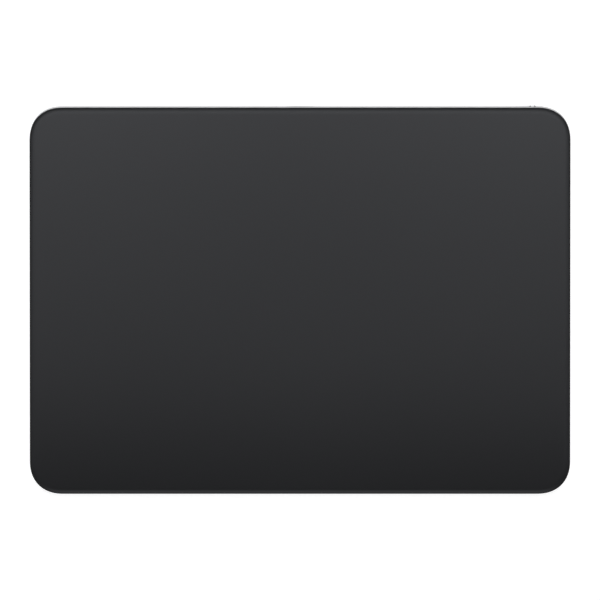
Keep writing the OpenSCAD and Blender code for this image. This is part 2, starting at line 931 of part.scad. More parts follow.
// Main processor with the radio
module processor_chip() {
    color([0.12, 0.12, 0.13])
        chip(processor_x, processor_l, processor_l);
}

// Touch controller
module touch_controller_chip() {
    color([0.12, 0.12, 0.13])
        chip(touch_chip_x, touch_chip_w, touch_chip_l);
}

// Power and charging chip
module power_chip() {
    color([0.12, 0.12, 0.13])
        chip(power_chip_x, power_chip_l, power_chip_l);
}

// Driver of the haptic coils
module haptic_driver_chip() {
    color([0.12, 0.12, 0.13])
        chip(driver_chip_x, driver_chip_l, driver_chip_l);
}

// Sheet metal can over the radio parts, open towards the board
module radio_shield() {
    u0 = -board_x + shield_inset_x;
    v0 = board_y + shield_inset_y;
    color([0.75, 0.75, 0.76])
        difference() {
            slab(u0, u0 + shield_w, v0, v0 + shield_l, board_low, board_low + shield_t);
            slab(u0 + shield_sheet, u0 + shield_w - shield_sheet,
                v0 + shield_sheet, v0 + shield_l - shield_sheet,
                board_low - shield_t, board_low + shield_t - shield_sheet);
        }
}

// Chip antenna at the free end of the logic board
module antenna() {
    u0 = -board_x + antenna_inset_x;
    v0 = board_y + antenna_inset_y;
    color([0.9, 0.89, 0.85])
        slab(u0, u0 + antenna_w, v0, v0 + antenna_l, board_low, board_low + antenna_t);
}

// Connectors on the logic board's upper side, where the ribbons come in
module board_connectors() {
    color([0.2, 0.2, 0.21]) {
        for (s = [-1, 1])
            slab(s * force_run_x - force_conn_w / 2, s * force_run_x + force_conn_w / 2,
                conn_y, conn_y + conn_l, ribbon_t, board_drop);
        slab(act_run_x - act_conn_w / 2, act_run_x + act_conn_w / 2,
            conn_y, conn_y + conn_l, ribbon_t, board_drop);
        slab(touch_x - touch_w / 2, touch_x + touch_w / 2, conn_y, conn_y + conn_l, ribbon_t, board_drop);
    }
}

// Ribbon from the touch sensor board, through the deck, to the logic board
module touch_ribbon() {
    top = under_depth - glass_t - sensor_t;
    color([0.72, 0.45, 0.15]) {
        slab(touch_x - touch_w / 2 + 0.5, touch_x + touch_w / 2 - 0.5,
            touch_y - ribbon_t / 2, touch_y + ribbon_t / 2, -top, ribbon_t);
        slab(touch_x - touch_w / 2 + 0.5, touch_x + touch_w / 2 - 0.5,
            touch_y - ribbon_t / 2, conn_y + conn_l, 0, ribbon_t);
    }
}

// Steel sleeve of the charging port
module port_shell() {
    color([0.55, 0.56, 0.58])
        translate([0, 0, panel_z])
            along_y(port_y0, port_y1)
                difference() {
                    rrect(port_out_w, port_out_h, port_out_h / 2 - 0.01);
                    rrect(port_w, port_h, port_h / 2 - 0.01);
                }
}

// Plastic block that closes the port's inner end and holds its contacts
module port_contact_block() {
    color([0.1, 0.1, 0.11])
        translate([0, 0, panel_z]) {
            along_y(port_y0, port_y0 + block_l)
                rrect(port_w - 0.06, port_h - 0.06, port_h / 2 - 0.04);
            along_y(port_y0 - block_flange, port_y0)
                rrect(port_out_w, port_out_h, 0.5);
        }
}

// Eight gilt contacts along the port's floor
module port_contacts() {
    color([0.85, 0.68, 0.3])
        for (i = [0:7])
            translate([(i - 3.5) * contact_pitch, 0, panel_z])
                box(-contact_w / 2, contact_w / 2, port_y0 + block_l, port_y0 + block_l + contact_l,
                    -port_h / 2, -port_h / 2 + contact_t);
}

// Strap that holds the port's shell up to two bosses
module port_bracket() {
    low = panel_z - port_out_h / 2 - strap_gap;
    color([0.62, 0.63, 0.65])
        difference() {
            along_y(strap_y0, strap_y1)
                polygon([
                    [-strap_ear_x, strap_ear_z],
                    [-strap_in - strap_t, strap_ear_z],
                    [-strap_in - strap_t, low - strap_t],
                    [strap_in + strap_t, low - strap_t],
                    [strap_in + strap_t, strap_ear_z],
                    [strap_ear_x, strap_ear_z],
                    [strap_ear_x, strap_ear_z + strap_t],
                    [strap_in, strap_ear_z + strap_t],
                    [strap_in, low],
                    [-strap_in, low],
                    [-strap_in, strap_ear_z + strap_t],
                    [-strap_ear_x, strap_ear_z + strap_t]
                ]);
            for (s = [-1, 1])
                translate([s * port_screw_x, port_screw_y, strap_ear_z - 1])
                    cylinder(d = pass_d, h = strap_t + 2);
        }
}

// Screws of the port's strap
module port_screws() {
    color([0.5, 0.5, 0.52])
        for (s = [-1, 1])
            translate([s * port_screw_x, port_screw_y, strap_ear_z])
                screw(strap_t + port_bite);
}

// Ribbon from the port's contacts up to the logic board
module port_ribbon() {
    y1 = port_y0 - block_flange;
    y0 = y1 - ribbon_t;
    function board_under(y) = plane_z(y, under_depth + board_low);
    color([0.72, 0.45, 0.15])
        along_x(-port_run_w / 2, port_run_w / 2)
            polygon([
                [y1, panel_z - port_run_low],
                [y1, board_under(y1)],
                [y0 - port_run_in, board_under(y0 - port_run_in)],
                [y0 - port_run_in, board_under(y0 - port_run_in) - ribbon_t],
                [y0, board_under(y0) - ribbon_t],
                [y0, panel_z - port_run_low]
            ]);
}

// Switch knob with two ribs, standing in the slot of the rear wall
module switch_knob() {
    color([0.16, 0.16, 0.17])
        translate([knob_x, 0, panel_z])
            difference() {
                union() {
                    along_y(pocket_y + knob_back, rear_y)
                        rrect(knob_l, knob_h, slot_r - knob_gap);
                    for (s = [-1, 1])
                        translate([s * rib_pitch / 2, 0, 0])
                            along_y(rear_y - 0.2, rear_y + rib_h)
                                rrect(rib_w, knob_h - 0.4, rib_w / 2 - 0.01);
                }
                box(-stem_l / 2 - 0.03, stem_l / 2 + 0.03, pocket_y - 1, stem_end + 0.05,
                    -stem_h / 2 - 0.03, stem_h / 2 + 0.03);
            }
}

// Slider inside the switch, whose stem carries the knob
module switch_slider() {
    front = pocket_y - switch_face_t - slide_gap;
    color([0.85, 0.85, 0.83])
        translate([knob_x, 0, panel_z]) {
            box(-slide_l / 2, slide_l / 2, switch_y0 + slide_gap, front,
                -switch_h / 2 + switch_wall + slide_gap, switch_h / 2 - switch_wall - slide_gap);
            box(-stem_l / 2, stem_l / 2, front - 0.5, stem_end, -stem_h / 2, stem_h / 2);
        }
}

// Body of the slide switch, seated in its pocket in the rear wall
module switch_body() {
    run = knob_travel / 2 + stem_l / 2 + stem_gap;
    color([0.13, 0.13, 0.14])
        translate([slot_x, 0, panel_z])
            difference() {
                box(-switch_l / 2, switch_l / 2, switch_y0, pocket_y, -switch_h / 2, switch_h / 2);
                box(-switch_l / 2 + switch_wall, switch_l / 2 - switch_wall, switch_y0 - 1,
                    pocket_y - switch_face_t, -switch_h / 2 + switch_wall, switch_h / 2 - switch_wall);
                box(-run, run, pocket_y - 2, pocket_y + 1, -stem_h / 2 - stem_gap, stem_h / 2 + stem_gap);
            }
}

// Terminal board that closes the back of the switch
module switch_terminal_board() {
    color([0.1, 0.35, 0.2])
        translate([slot_x, 0, panel_z])
            box(-switch_l / 2, switch_l / 2, switch_y0 - terminal_t, switch_y0,
                -switch_h / 2, switch_h / 2);
}

// Bent bracket behind the switch, screwed under the deck
module switch_bracket() {
    back = switch_y0 - terminal_t - ribbon_t;
    top = under_z(back) - board_drop - bracket_t / 2;
    color([0.62, 0.63, 0.65])
        difference() {
            union() {
                box(slot_x - bracket_l / 2, slot_x + bracket_l / 2, back - bracket_t, back,
                    panel_z - switch_h / 2, top);
                slab(slot_x - bracket_l / 2, slot_x + bracket_l / 2,
                    switch_y0 - bracket_back - bracket_edge, back - bracket_t / 2,
                    board_drop, board_drop + bracket_t);
            }
            at_switch_screws(board_drop + bracket_t + 1)
                cylinder(d = pass_d, h = bracket_t + 2);
        }
}

// Screws of the switch's bracket
module switch_screws() {
    color([0.5, 0.5, 0.52])
        at_switch_screws(board_drop + bracket_t)
            screw(bracket_t + board_drop + screw_bite);
}

// Ribbon from the switch's terminals to the end of the logic board
module switch_ribbon() {
    back = switch_y0 - terminal_t;
    top = under_z(back - ribbon_t) - board_low - ribbon_t / 2;
    u0 = board_x - switch_run_lap;
    u1 = board_x - switch_run_margin;
    color([0.72, 0.45, 0.15]) {
        box(u0, slot_x + switch_run_end, back - ribbon_t, back,
            panel_z - switch_run_low, panel_z + switch_run_high);
        box(u0, u1, back - ribbon_t, back, panel_z, top);
        slab(u0, u1, back - switch_run_in, back - ribbon_t / 2, board_low, board_low + ribbon_t);
    }
}

enclosure();
touch_glass();
glass_adhesive();
touch_sensor_board();
sensor_film();
bottom_cover();
cover_adhesive();
foot_pad(-1, -1);  // foot_pad_front_left
foot_pad(1, -1);  // foot_pad_front_right
foot_pad(-1, 1);  // foot_pad_rear_left
foot_pad(1, 1);  // foot_pad_rear_right
foot_post(-1, -1);  // foot_post_front_left
foot_post(1, -1);  // foot_post_front_right
foot_post(-1, 1);  // foot_post_rear_left
foot_post(1, 1);  // foot_post_rear_right
flexure(-1, -1);  // flexure_front_left
flexure(1, -1);  // flexure_front_right
flexure(-1, 1);  // flexure_rear_left
flexure(1, 1);  // flexure_rear_right
strain_gauges();
flexure_screws();
force_ribbon(-1);  // force_ribbon_left
force_ribbon(1);  // force_ribbon_right
actuator_tray();
actuator_core();
actuator_coils();
actuator_mass();
actuator_magnets();
actuator_spring(-1);  // actuator_spring_left
actuator_spring(1);  // actuator_spring_right
actuator_screws();
actuator_ribbon();
battery();
battery_adhesive();
battery_protection_board();
battery_connector();
battery_cable();
logic_board();
board_screws();
processor_chip();
touch_controller_chip();
power_chip();
haptic_driver_chip();
radio_shield();
antenna();
board_connectors();
touch_ribbon();
port_shell();
port_contact_block();
port_contacts();
port_bracket();
port_screws();
port_ribbon();
switch_knob();
switch_slider();
switch_body();
switch_terminal_board();
switch_bracket();
switch_screws();
switch_ribbon();
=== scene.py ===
"""Looks of a glass-topped desktop trackpad: a matt black touch plate on a wedge of bead-blasted metal.

Lengths of the pieces are in millimetres, and meshes and the stage are in metres, in the frame of the CAD
part: +Z is up from the desk, +Y points to the rear wall and +X to the user's right.
"""

from __future__ import annotations

import json
import logging
import math
from dataclasses import dataclass
from enum import Enum

import bpy
import numpy as np
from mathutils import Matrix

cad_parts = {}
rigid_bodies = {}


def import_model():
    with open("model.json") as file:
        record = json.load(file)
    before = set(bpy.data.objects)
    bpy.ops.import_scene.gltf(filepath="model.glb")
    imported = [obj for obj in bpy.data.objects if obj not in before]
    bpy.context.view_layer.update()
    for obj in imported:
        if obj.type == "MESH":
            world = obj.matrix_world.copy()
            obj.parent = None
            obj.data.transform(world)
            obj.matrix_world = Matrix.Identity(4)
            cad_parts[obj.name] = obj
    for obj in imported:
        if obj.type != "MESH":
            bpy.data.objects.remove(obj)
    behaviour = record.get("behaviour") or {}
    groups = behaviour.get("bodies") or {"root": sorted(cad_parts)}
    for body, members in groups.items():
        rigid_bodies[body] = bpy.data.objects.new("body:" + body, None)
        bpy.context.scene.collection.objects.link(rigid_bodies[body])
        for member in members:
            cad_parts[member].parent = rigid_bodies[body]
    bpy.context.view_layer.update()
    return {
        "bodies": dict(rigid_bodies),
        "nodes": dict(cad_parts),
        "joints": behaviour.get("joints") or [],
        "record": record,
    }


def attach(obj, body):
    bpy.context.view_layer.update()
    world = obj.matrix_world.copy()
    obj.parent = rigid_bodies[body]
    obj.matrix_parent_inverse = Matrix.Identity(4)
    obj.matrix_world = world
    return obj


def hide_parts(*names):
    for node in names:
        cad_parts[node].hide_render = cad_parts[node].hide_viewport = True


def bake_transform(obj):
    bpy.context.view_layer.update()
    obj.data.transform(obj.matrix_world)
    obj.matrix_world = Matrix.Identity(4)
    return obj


LOG = logging.getLogger("trackpad")
MM = 0.001  # metres in a millimetre
CREASE = 35.0  # degrees up to which neighbouring faces are shaded as one
HAIR = 0.005  # what a round end's radius lacks of half its width, so that no two points coincide
FILM = 0.12  # thickness of the ribbons
BRANCH = 0.114  # thickness of a ribbon's branch where it meets the ribbon

SIDES = (("left", -1), ("right", 1))
ENDS = (("front", -1), ("rear", 1))
CORNERS = tuple((f"{end}_{side}", sx, sy) for end, sy in ENDS for side, sx in SIDES)

Colour = tuple[float, float, float]
Point = tuple[float, float, float]
Pair = tuple[float, float]
Triple = tuple[float, float, float]
Box = tuple[float, float, float, float]
Profile = list[Pair]
Outline = tuple[np.ndarray, np.ndarray]
Socket = bpy.types.NodeSocket
Values = dict[str | int, object]


class Pattern(Enum):
    """Fine structure of a finish."""

    GRAIN = "fine_grain"
    BRUSHED = "brushed_grain"
    STRIPES = "even_stripes"
    TRACES = "board_traces"
    PATCHES = "soft_patches"


class Face(Enum):
    """How a grid of rings ends."""

    CAPPED = "capped"
    LOOPED = "looped"


class Hold(Enum):
    """What a screw stands square to."""

    DESK = "desk"
    DECK = "deck"


# Surfaces


def at(x: float = 0.0, y: float = 0.0, z: float = 0.0) -> np.ndarray:
    """Place as an array of its three coordinates."""
    return np.array([x, y, z])


def rounded_rectangle(
    width: float, depth: float, radius: float, per_corner: int, per_side: int, power: float = 2.0
) -> Outline:
    """Outline of a rectangle with round corners, anticlockwise.

    The first corner is centre + radius * (cos a, sin a) ** (2 / power) over a quarter turn, with its normal
    along (cos a, sin a) ** (2 - 2 / power). The others are turned copies, and straight sides join them.
    Power 2 gives an arc, and a higher one a corner that eases into the sides.

    Args:
        width: Size along the first axis.
        depth: Size along the second axis.
        radius: Corner radius, or how far an eased corner reaches along a side.
        per_corner: Steps in a corner.
        per_side: Steps along a side.
        power: Power of the corner's curve.

    Returns:
        The points and the outward normals, each as an array of pairs.
    """
    angle = np.linspace(0, np.pi / 2, per_corner + 1)
    ray = np.stack([np.cos(angle), np.sin(angle)], -1)
    facing = ray ** (2 - 2 / power)
    facing /= np.linalg.norm(facing, axis=-1, keepdims=True)
    quarter = np.array([[0, -1], [1, 0]])
    turns = np.stack([np.linalg.matrix_power(quarter, k) for k in range(4)])
    centre = turns @ np.array([1, 1]) * np.array([width / 2 - radius, depth / 2 - radius])
    normal = np.einsum("kij,nj->kni", turns, facing)
    arc = centre[:, None, :] + radius * np.einsum("kij,nj->kni", turns, ray ** (2 / power))
    share = np.linspace(0, 1, per_side + 1)[1:-1]
    start, end = arc[:, -1], np.roll(arc[:, 0], -1, axis=0)
    side = start[:, None, :] + share[None, :, None] * (end - start)[:, None, :]
    side_normal = np.repeat(normal[:, -1:, :], per_side - 1, axis=1)
    ring = np.concatenate([arc, side], 1).reshape(-1, 2)
    return ring, np.concatenate([normal, side_normal], 1).reshape(-1, 2)


def circle(radius: float, steps: int) -> Outline:
    """Outline of a circle, radius * (cos a, sin a), anticlockwise.

    Args:
        radius: Radius of the circle.
        steps: Points round it.

    Returns:
        The points and the outward normals.
    """
    angle = np.linspace(0, 2 * np.pi, steps, endpoint=False)
    normal = np.stack([np.cos(angle), np.sin(angle)], -1)
    return radius * normal, normal


def carry(outline: Outline, profile: Profile) -> np.ndarray:
    """Profile carried along an outline: point = outline - inset * normal, at the profile's height.

    Args:
        outline: Points and normals of the outline.
        profile: Pairs of inset and height, one for each ring.

    Returns:
        Rings of points, as an array of rings, steps and coordinates.
    """
    ring, normal = outline
    inset, height = np.array(profile, float).T
    plan = ring[None] - inset[:, None, None] * normal[None]
    level = np.broadcast_to(height[:, None, None], (*plan.shape[:2], 1))
    return np.concatenate([plan, level], -1)


def round_edge(
    inset: float, height: float, radius: float, first: float, last: float, steps: int
) -> Profile:
    """Arc of a profile: (inset - radius * cos a, height + radius * sin a), a from first to last in degrees.

    Args:
        inset: Inset of the arc's centre.
        height: Height of the arc's centre.
        radius: Radius of the arc.
        first: Angle where it starts, 0 pointing outwards and 90 upwards.
        last: Angle where it ends.
        steps: Steps along it.

    Returns:
        Pairs of inset and height.
    """
    angle = np.radians(np.linspace(first, last, steps + 1))
    return list(zip(inset - radius * np.cos(angle), height + radius * np.sin(angle)))


def round_top(high: float, radius: float, steps: int, inset: float = 0.0) -> Profile:
    """Quarter arc of a profile from an upper face out to the side, which lies at the inset."""
    return round_edge(inset + radius, high - radius, radius, 90, 0, steps)


def round_foot(low: float, radius: float, steps: int, inset: float = 0.0) -> Profile:
    """Quarter arc of a profile from the side, which lies at the inset, in to a lower face."""
    return round_edge(inset + radius, low + radius, radius, 0, -90, steps)


def section(width: float, thick: float, edge: float) -> np.ndarray:
    """Outline of a flat section with rounded edges, in few steps."""
    return rounded_rectangle(width, thick, edge, per_corner=3, per_side=8)[0]


def blank(along: np.ndarray, half: np.ndarray, low: float, high: float, edge: float) -> np.ndarray:
    """Stamped blank along y: at each y the rounded section, its x stretched to the half width there.

    Args:
        along: Places along y.
        half: Half width at each place.
        low: Height of the lower face.
        high: Height of the upper face.
        edge: Rounding of the section's edges.

    Returns:
        Rings of points, one for each place.
    """
    shape = section(2.0, high - low, edge)
    x = half[:, None] * shape[None, :, 0]
    y = np.broadcast_to(along[:, None], x.shape)
    return np.stack([x, y, np.broadcast_to(shape[:, 1] + (low + high) / 2, x.shape)], -1)


def bevelled(box: Box, high: float, low: float, edge: float) -> np.ndarray:
    """Block with round corners and bevelled edges: a rounded rectangle carried down from its upper face.

    Args:
        box: First and second place of its middle, width and length.
        high: Height of the upper face.
        low: Height of the lower face.
        edge: Size of the bevel.

    Returns:
        Rings of points.
    """
    x, y, width, length = box
    outline = rounded_rectangle(width, length, 2 * edge, per_corner=5, per_side=4)
    rows = [(edge, high), (0.0, high - edge), (0.0, low + edge), (edge / 3, low + edge / 3), (edge, low)]
    return carry(outline, rows) + at(x, y)


def drill(radius: float, high: float, low: float) -> np.ndarray:
    """Rings of a drill about the upright axis: a circle carried from one height down to another."""
    return carry(circle(radius, 40), [(0.0, high), (0.0, low)])


def facing_rear(grid: np.ndarray) -> np.ndarray:
    """Turn a grid drawn in x and z, raised along its height, so that its height runs along +Y."""
    return np.stack([-grid[..., 0], grid[..., 2], grid[..., 1]], -1)


@dataclass(frozen=True)
class Strip:
    """Strip of film or sheet that follows a path of straight legs joined by arcs of one radius."""

    width: float
    thick: float
    bend: float
    rounding: float = 0.3  # of its edges, as a share of its thickness
    steps: int = 8

    def carried(self, path: Profile, across: float, within: float) -> Outline:
        """Section carried along a path.

        At a corner with turn t the arc starts bend * tan(t / 2) before it, and the section stays square to
        the path.

        Args:
            path: Corners of the path, in its plane.
            across: Size of the section across that plane.
            within: Size of the section in it.

        Returns:
            Rings of points, with the place across the plane first and the two in it next, and the section.
        """
        points = np.array(path, float)
        legs = np.diff(points, axis=0)
        heading = np.arctan2(legs[:, 1], legs[:, 0])
        turn = (np.diff(heading) + np.pi) % (2 * np.pi) - np.pi
        ahead = np.stack([np.cos(heading), np.sin(heading)], -1)
        beside = np.stack([-np.sin(heading), np.cos(heading)], -1)
        start = points[1:-1] - self.bend * np.tan(np.abs(turn) / 2)[:, None] * ahead[:-1]
        side = (np.sign(turn) * self.bend)[:, None]
        along = heading[:-1, None] + turn[:, None] * np.linspace(0, 1, self.steps + 1)
        square = np.stack([-np.sin(along), np.cos(along)], -1)
        arcs = (start + side * beside[:-1])[:, None] - side[:, None] * square
        middle = np.concatenate([points[:1], arcs.reshape(-1, 2), points[-1:]])
        normal = np.concatenate([beside[:1], square.reshape(-1, 2), beside[-1:]])
        shape = section(across, within, self.thick * self.rounding)
        plane = middle[:, None] + shape[None, :, 1:] * normal[:, None]
        level = np.broadcast_to(shape[None, :, :1], (*plane.shape[:2], 1))
        return np.concatenate([level, plane], -1), shape

    def folded(self, path: Profile) -> Outline:
        """Rings of the strip folded out of its own plane, and the place of each point across it."""
        grid, shape = self.carried(path, self.width, self.thick)
        return grid, shape[:, 0]

    def flat(self, path: Profile) -> Outline:
        """Rings of the strip bent in its own plane, height last, and the place of each point across it."""
        grid, shape = self.carried(path, self.thick, self.width)
        return grid[..., [1, 2, 0]], shape[:, 1]


class Skin:
    """Points and faces of one piece, gathered from closed grids."""

    def __init__(self) -> None:
        """Start with no points."""
        self.points: list[np.ndarray] = []
        self.faces: list[list[int]] = []
        self.marks: list[np.ndarray] = []
        self.count = 0

    def add(self, grid: np.ndarray, ends: Face = Face.CAPPED, mark: np.ndarray | float = 0.0) -> Skin:
        """Add rings joined by quads, with the faces turned outwards.

        The volume is the sum of a . (b x c) / 6 over the triangles. If it is negative, all faces turn round.

        Args:
            grid: Closed rings of points.
            ends: Whether the first and last rings are filled or joined to each other.
            mark: A number for each point, or an array that widens to the grid.

        Returns:
            The skin itself.
        """
        rows, cols = grid.shape[:2]
        points = grid.reshape(-1, 3)
        index = np.arange(rows * cols).reshape(rows, cols)
        upper, lower = (index, np.roll(index, -1, 0)) if ends is Face.LOOPED else (index[:-1], index[1:])
        quads = np.stack([upper, lower, np.roll(lower, -1, 1), np.roll(upper, -1, 1)], -1).reshape(-1, 4)
        caps = [index[0], index[-1][::-1]] if ends is Face.CAPPED else []
        fans = [np.stack([np.full(cols, cap[0]), cap, np.roll(cap, -1)], -1) for cap in caps]
        a, b, c = np.moveaxis(points[np.concatenate([quads[:, :3], quads[:, [0, 2, 3]], *fans])], 1, 0)
        way = -1 if (a * np.cross(b, c)).sum() < 0 else 1
        self.faces += [(self.count + face[::way]).tolist() for face in [*quads, *caps]]
        self.points.append(points)
        self.marks.append(np.broadcast_to(mark, (rows, cols)).ravel())
        self.count += rows * cols
        return self

    def build(self, name: str, crease: float = CREASE, attribute: str = "") -> bpy.types.Object:
        """Make the object, smooth except where faces meet at more than the crease.

        Args:
            name: Name of the object.
            crease: Angle in degrees.
            attribute: Name of the point attribute that keeps the marks, if any.

        Returns:
            The new object, at the origin.
        """
        mesh = bpy.data.meshes.new(name)
        mesh.from_pydata((np.concatenate(self.points) * MM).tolist(), [], self.faces)
        smooth(mesh, crease)
        if attribute:
            values = np.concatenate(self.marks).astype(np.float32)
            mesh.attributes.new(attribute, "FLOAT", "POINT").data.foreach_set("value", values)
        piece = bpy.data.objects.new(name, mesh)
        bpy.context.scene.collection.objects.link(piece)
        return piece


def smooth(mesh: bpy.types.Mesh, crease: float = CREASE) -> None:
    """Shade a mesh smooth up to a crease.

    Args:
        mesh: The mesh.
        crease: Angle in degrees.
    """
    mesh.polygons.foreach_set("use_smooth", np.ones(len(mesh.polygons), bool))
    mesh.set_sharp_from_angle(angle=math.radians(crease))
    mesh.update()


def cut(piece: bpy.types.Object, tool: Skin) -> None:
    """Take a closed tool surface out of a piece.

    Args:
        piece: The piece to cut.
        tool: Closed surface of what is taken away.
    """
    cutter = tool.build("cutter")
    step = piece.modifiers.new("cut", "BOOLEAN")
    step.operation, step.solver, step.object = "DIFFERENCE", "EXACT", cutter
    graph = bpy.context.evaluated_depsgraph_get()
    whole, rest = piece.data, bpy.data.meshes.new_from_object(piece.evaluated_get(graph))
    piece.modifiers.clear()
    piece.data = rest
    rest.materials.clear()
    smooth(rest)
    tool_mesh = cutter.data
    bpy.data.objects.remove(cutter)
    bpy.data.meshes.remove(tool_mesh)
    bpy.data.meshes.remove(whole)
    rest.name = piece.name


# Finishes


class Nodes:
    """A node tree under construction."""

    def __init__(self, tree: bpy.types.NodeTree) -> None:
        """Start from an empty tree."""
        self.tree = tree
        tree.nodes.clear()

    def add(self, kind: str, values: Values | None = None, **settings: object) -> bpy.types.Node:
        """Add a node.

        Args:
            kind: Type of the node, without its ShaderNode prefix.
            values: Values of input sockets, or sockets to link to them, by name or place.
            settings: Properties of the node.

        Returns:
            The node.
        """
        node = self.tree.nodes.new(kind if kind.startswith("NodeGroup") else "ShaderNode" + kind)
        for key, value in settings.items():
            setattr(node, key, value)
        for key, value in (values or {}).items():
            if isinstance(value, Socket):
                self.tree.links.new(value, node.inputs[key])
            else:
                node.inputs[key].default_value = value
        return node

    def math(self, operation: str, *terms: Socket | float) -> Socket:
        """Work out a number from sockets or plain numbers."""
        return self.add("Math", dict(enumerate(terms)), operation=operation).outputs[0]

    def vector(self, operation: str, *terms: Socket | Point) -> Socket:
        """Work out a vector, or a number for a length or a dot product, from sockets or plain vectors."""
        node = self.add("VectorMath", dict(enumerate(terms)), operation=operation)
        return node.outputs["Value" if operation in ("LENGTH", "DOT_PRODUCT") else "Vector"]

    def speckle(self, vector: Socket, scale: Socket, detail: float, gain: float) -> Socket:
        """Noise whose distance from one half is multiplied by a gain.

        Args:
            vector: Coordinates.
            scale: Scale of the noise.
            detail: Its octaves.
            gain: The gain.

        Returns:
            The socket of the result.
        """
        noise = self.add("TexNoise", {"Vector": vector, "Scale": scale, "Detail": detail}).outputs[0]
        return self.math("MULTIPLY_ADD", noise, gain, (1 - gain) / 2)

    def wave(self, place: Socket, scale: Socket) -> Socket:
        """Sine of 2 pi * scale * place."""
        return self.math("SINE", self.math("MULTIPLY", self.math("MULTIPLY", place, scale), 2 * math.pi))

    def tone(self, share: Socket, low: Colour, high: Colour) -> Socket:
        """Colour between two tones."""
        tones = {"Factor": share, 6: (*low, 1.0), 7: (*high, 1.0)}
        return self.add("Mix", tones, data_type="RGBA").outputs[2]

    def between(self, share: Socket, low: float, high: float) -> Socket:
        """Number between two others."""
        return self.add("MapRange", {"Value": share, "To Min": low, "To Max": high}).outputs[0]

    def eased(self, value: Socket, span: Pair, levels: Pair) -> Socket:
        """Number that eases from one level to another while a value crosses a span.

        Args:
            value: The value.
            span: Where it starts and ends to matter.
            levels: The number before the span and after it.

        Returns:
            The socket of the number.
        """
        ends = {"From Min": span[0], "From Max": span[1], "To Min": levels[0], "To Max": levels[1]}
        return self.add("MapRange", {"Value": value, **ends}, interpolation_type="SMOOTHSTEP").outputs[0]

    def bump(self, height: Socket, relief: float) -> Socket:
        """Normal of a fine relief, given in millimetres."""
        return self.add("Bump", {"Height": height, "Distance": relief * MM, "Strength": 1.0}).outputs[0]

    def principled(self, values: Values) -> None:
        """End a material with a Principled shader of these values."""
        self.add("OutputMaterial", {"Surface": self.add("BsdfPrincipled", values).outputs[0]})


def open_material(slot: str, tone: Colour) -> tuple[bpy.types.Material, Nodes, Socket]:
    """Start a node material.

    Args:
        slot: Name of the material.
        tone: Colour that stands for it where nodes aren't shown.

    Returns:
        The material, its tree under construction and the socket of Object coordinates.
    """
    made = bpy.data.materials.new(slot)
    made.use_nodes = True
    made.diffuse_color = (*tone, 1.0)
    sketch = Nodes(made.node_tree)
    return made, sketch, sketch.add("TexCoord").outputs["Object"]


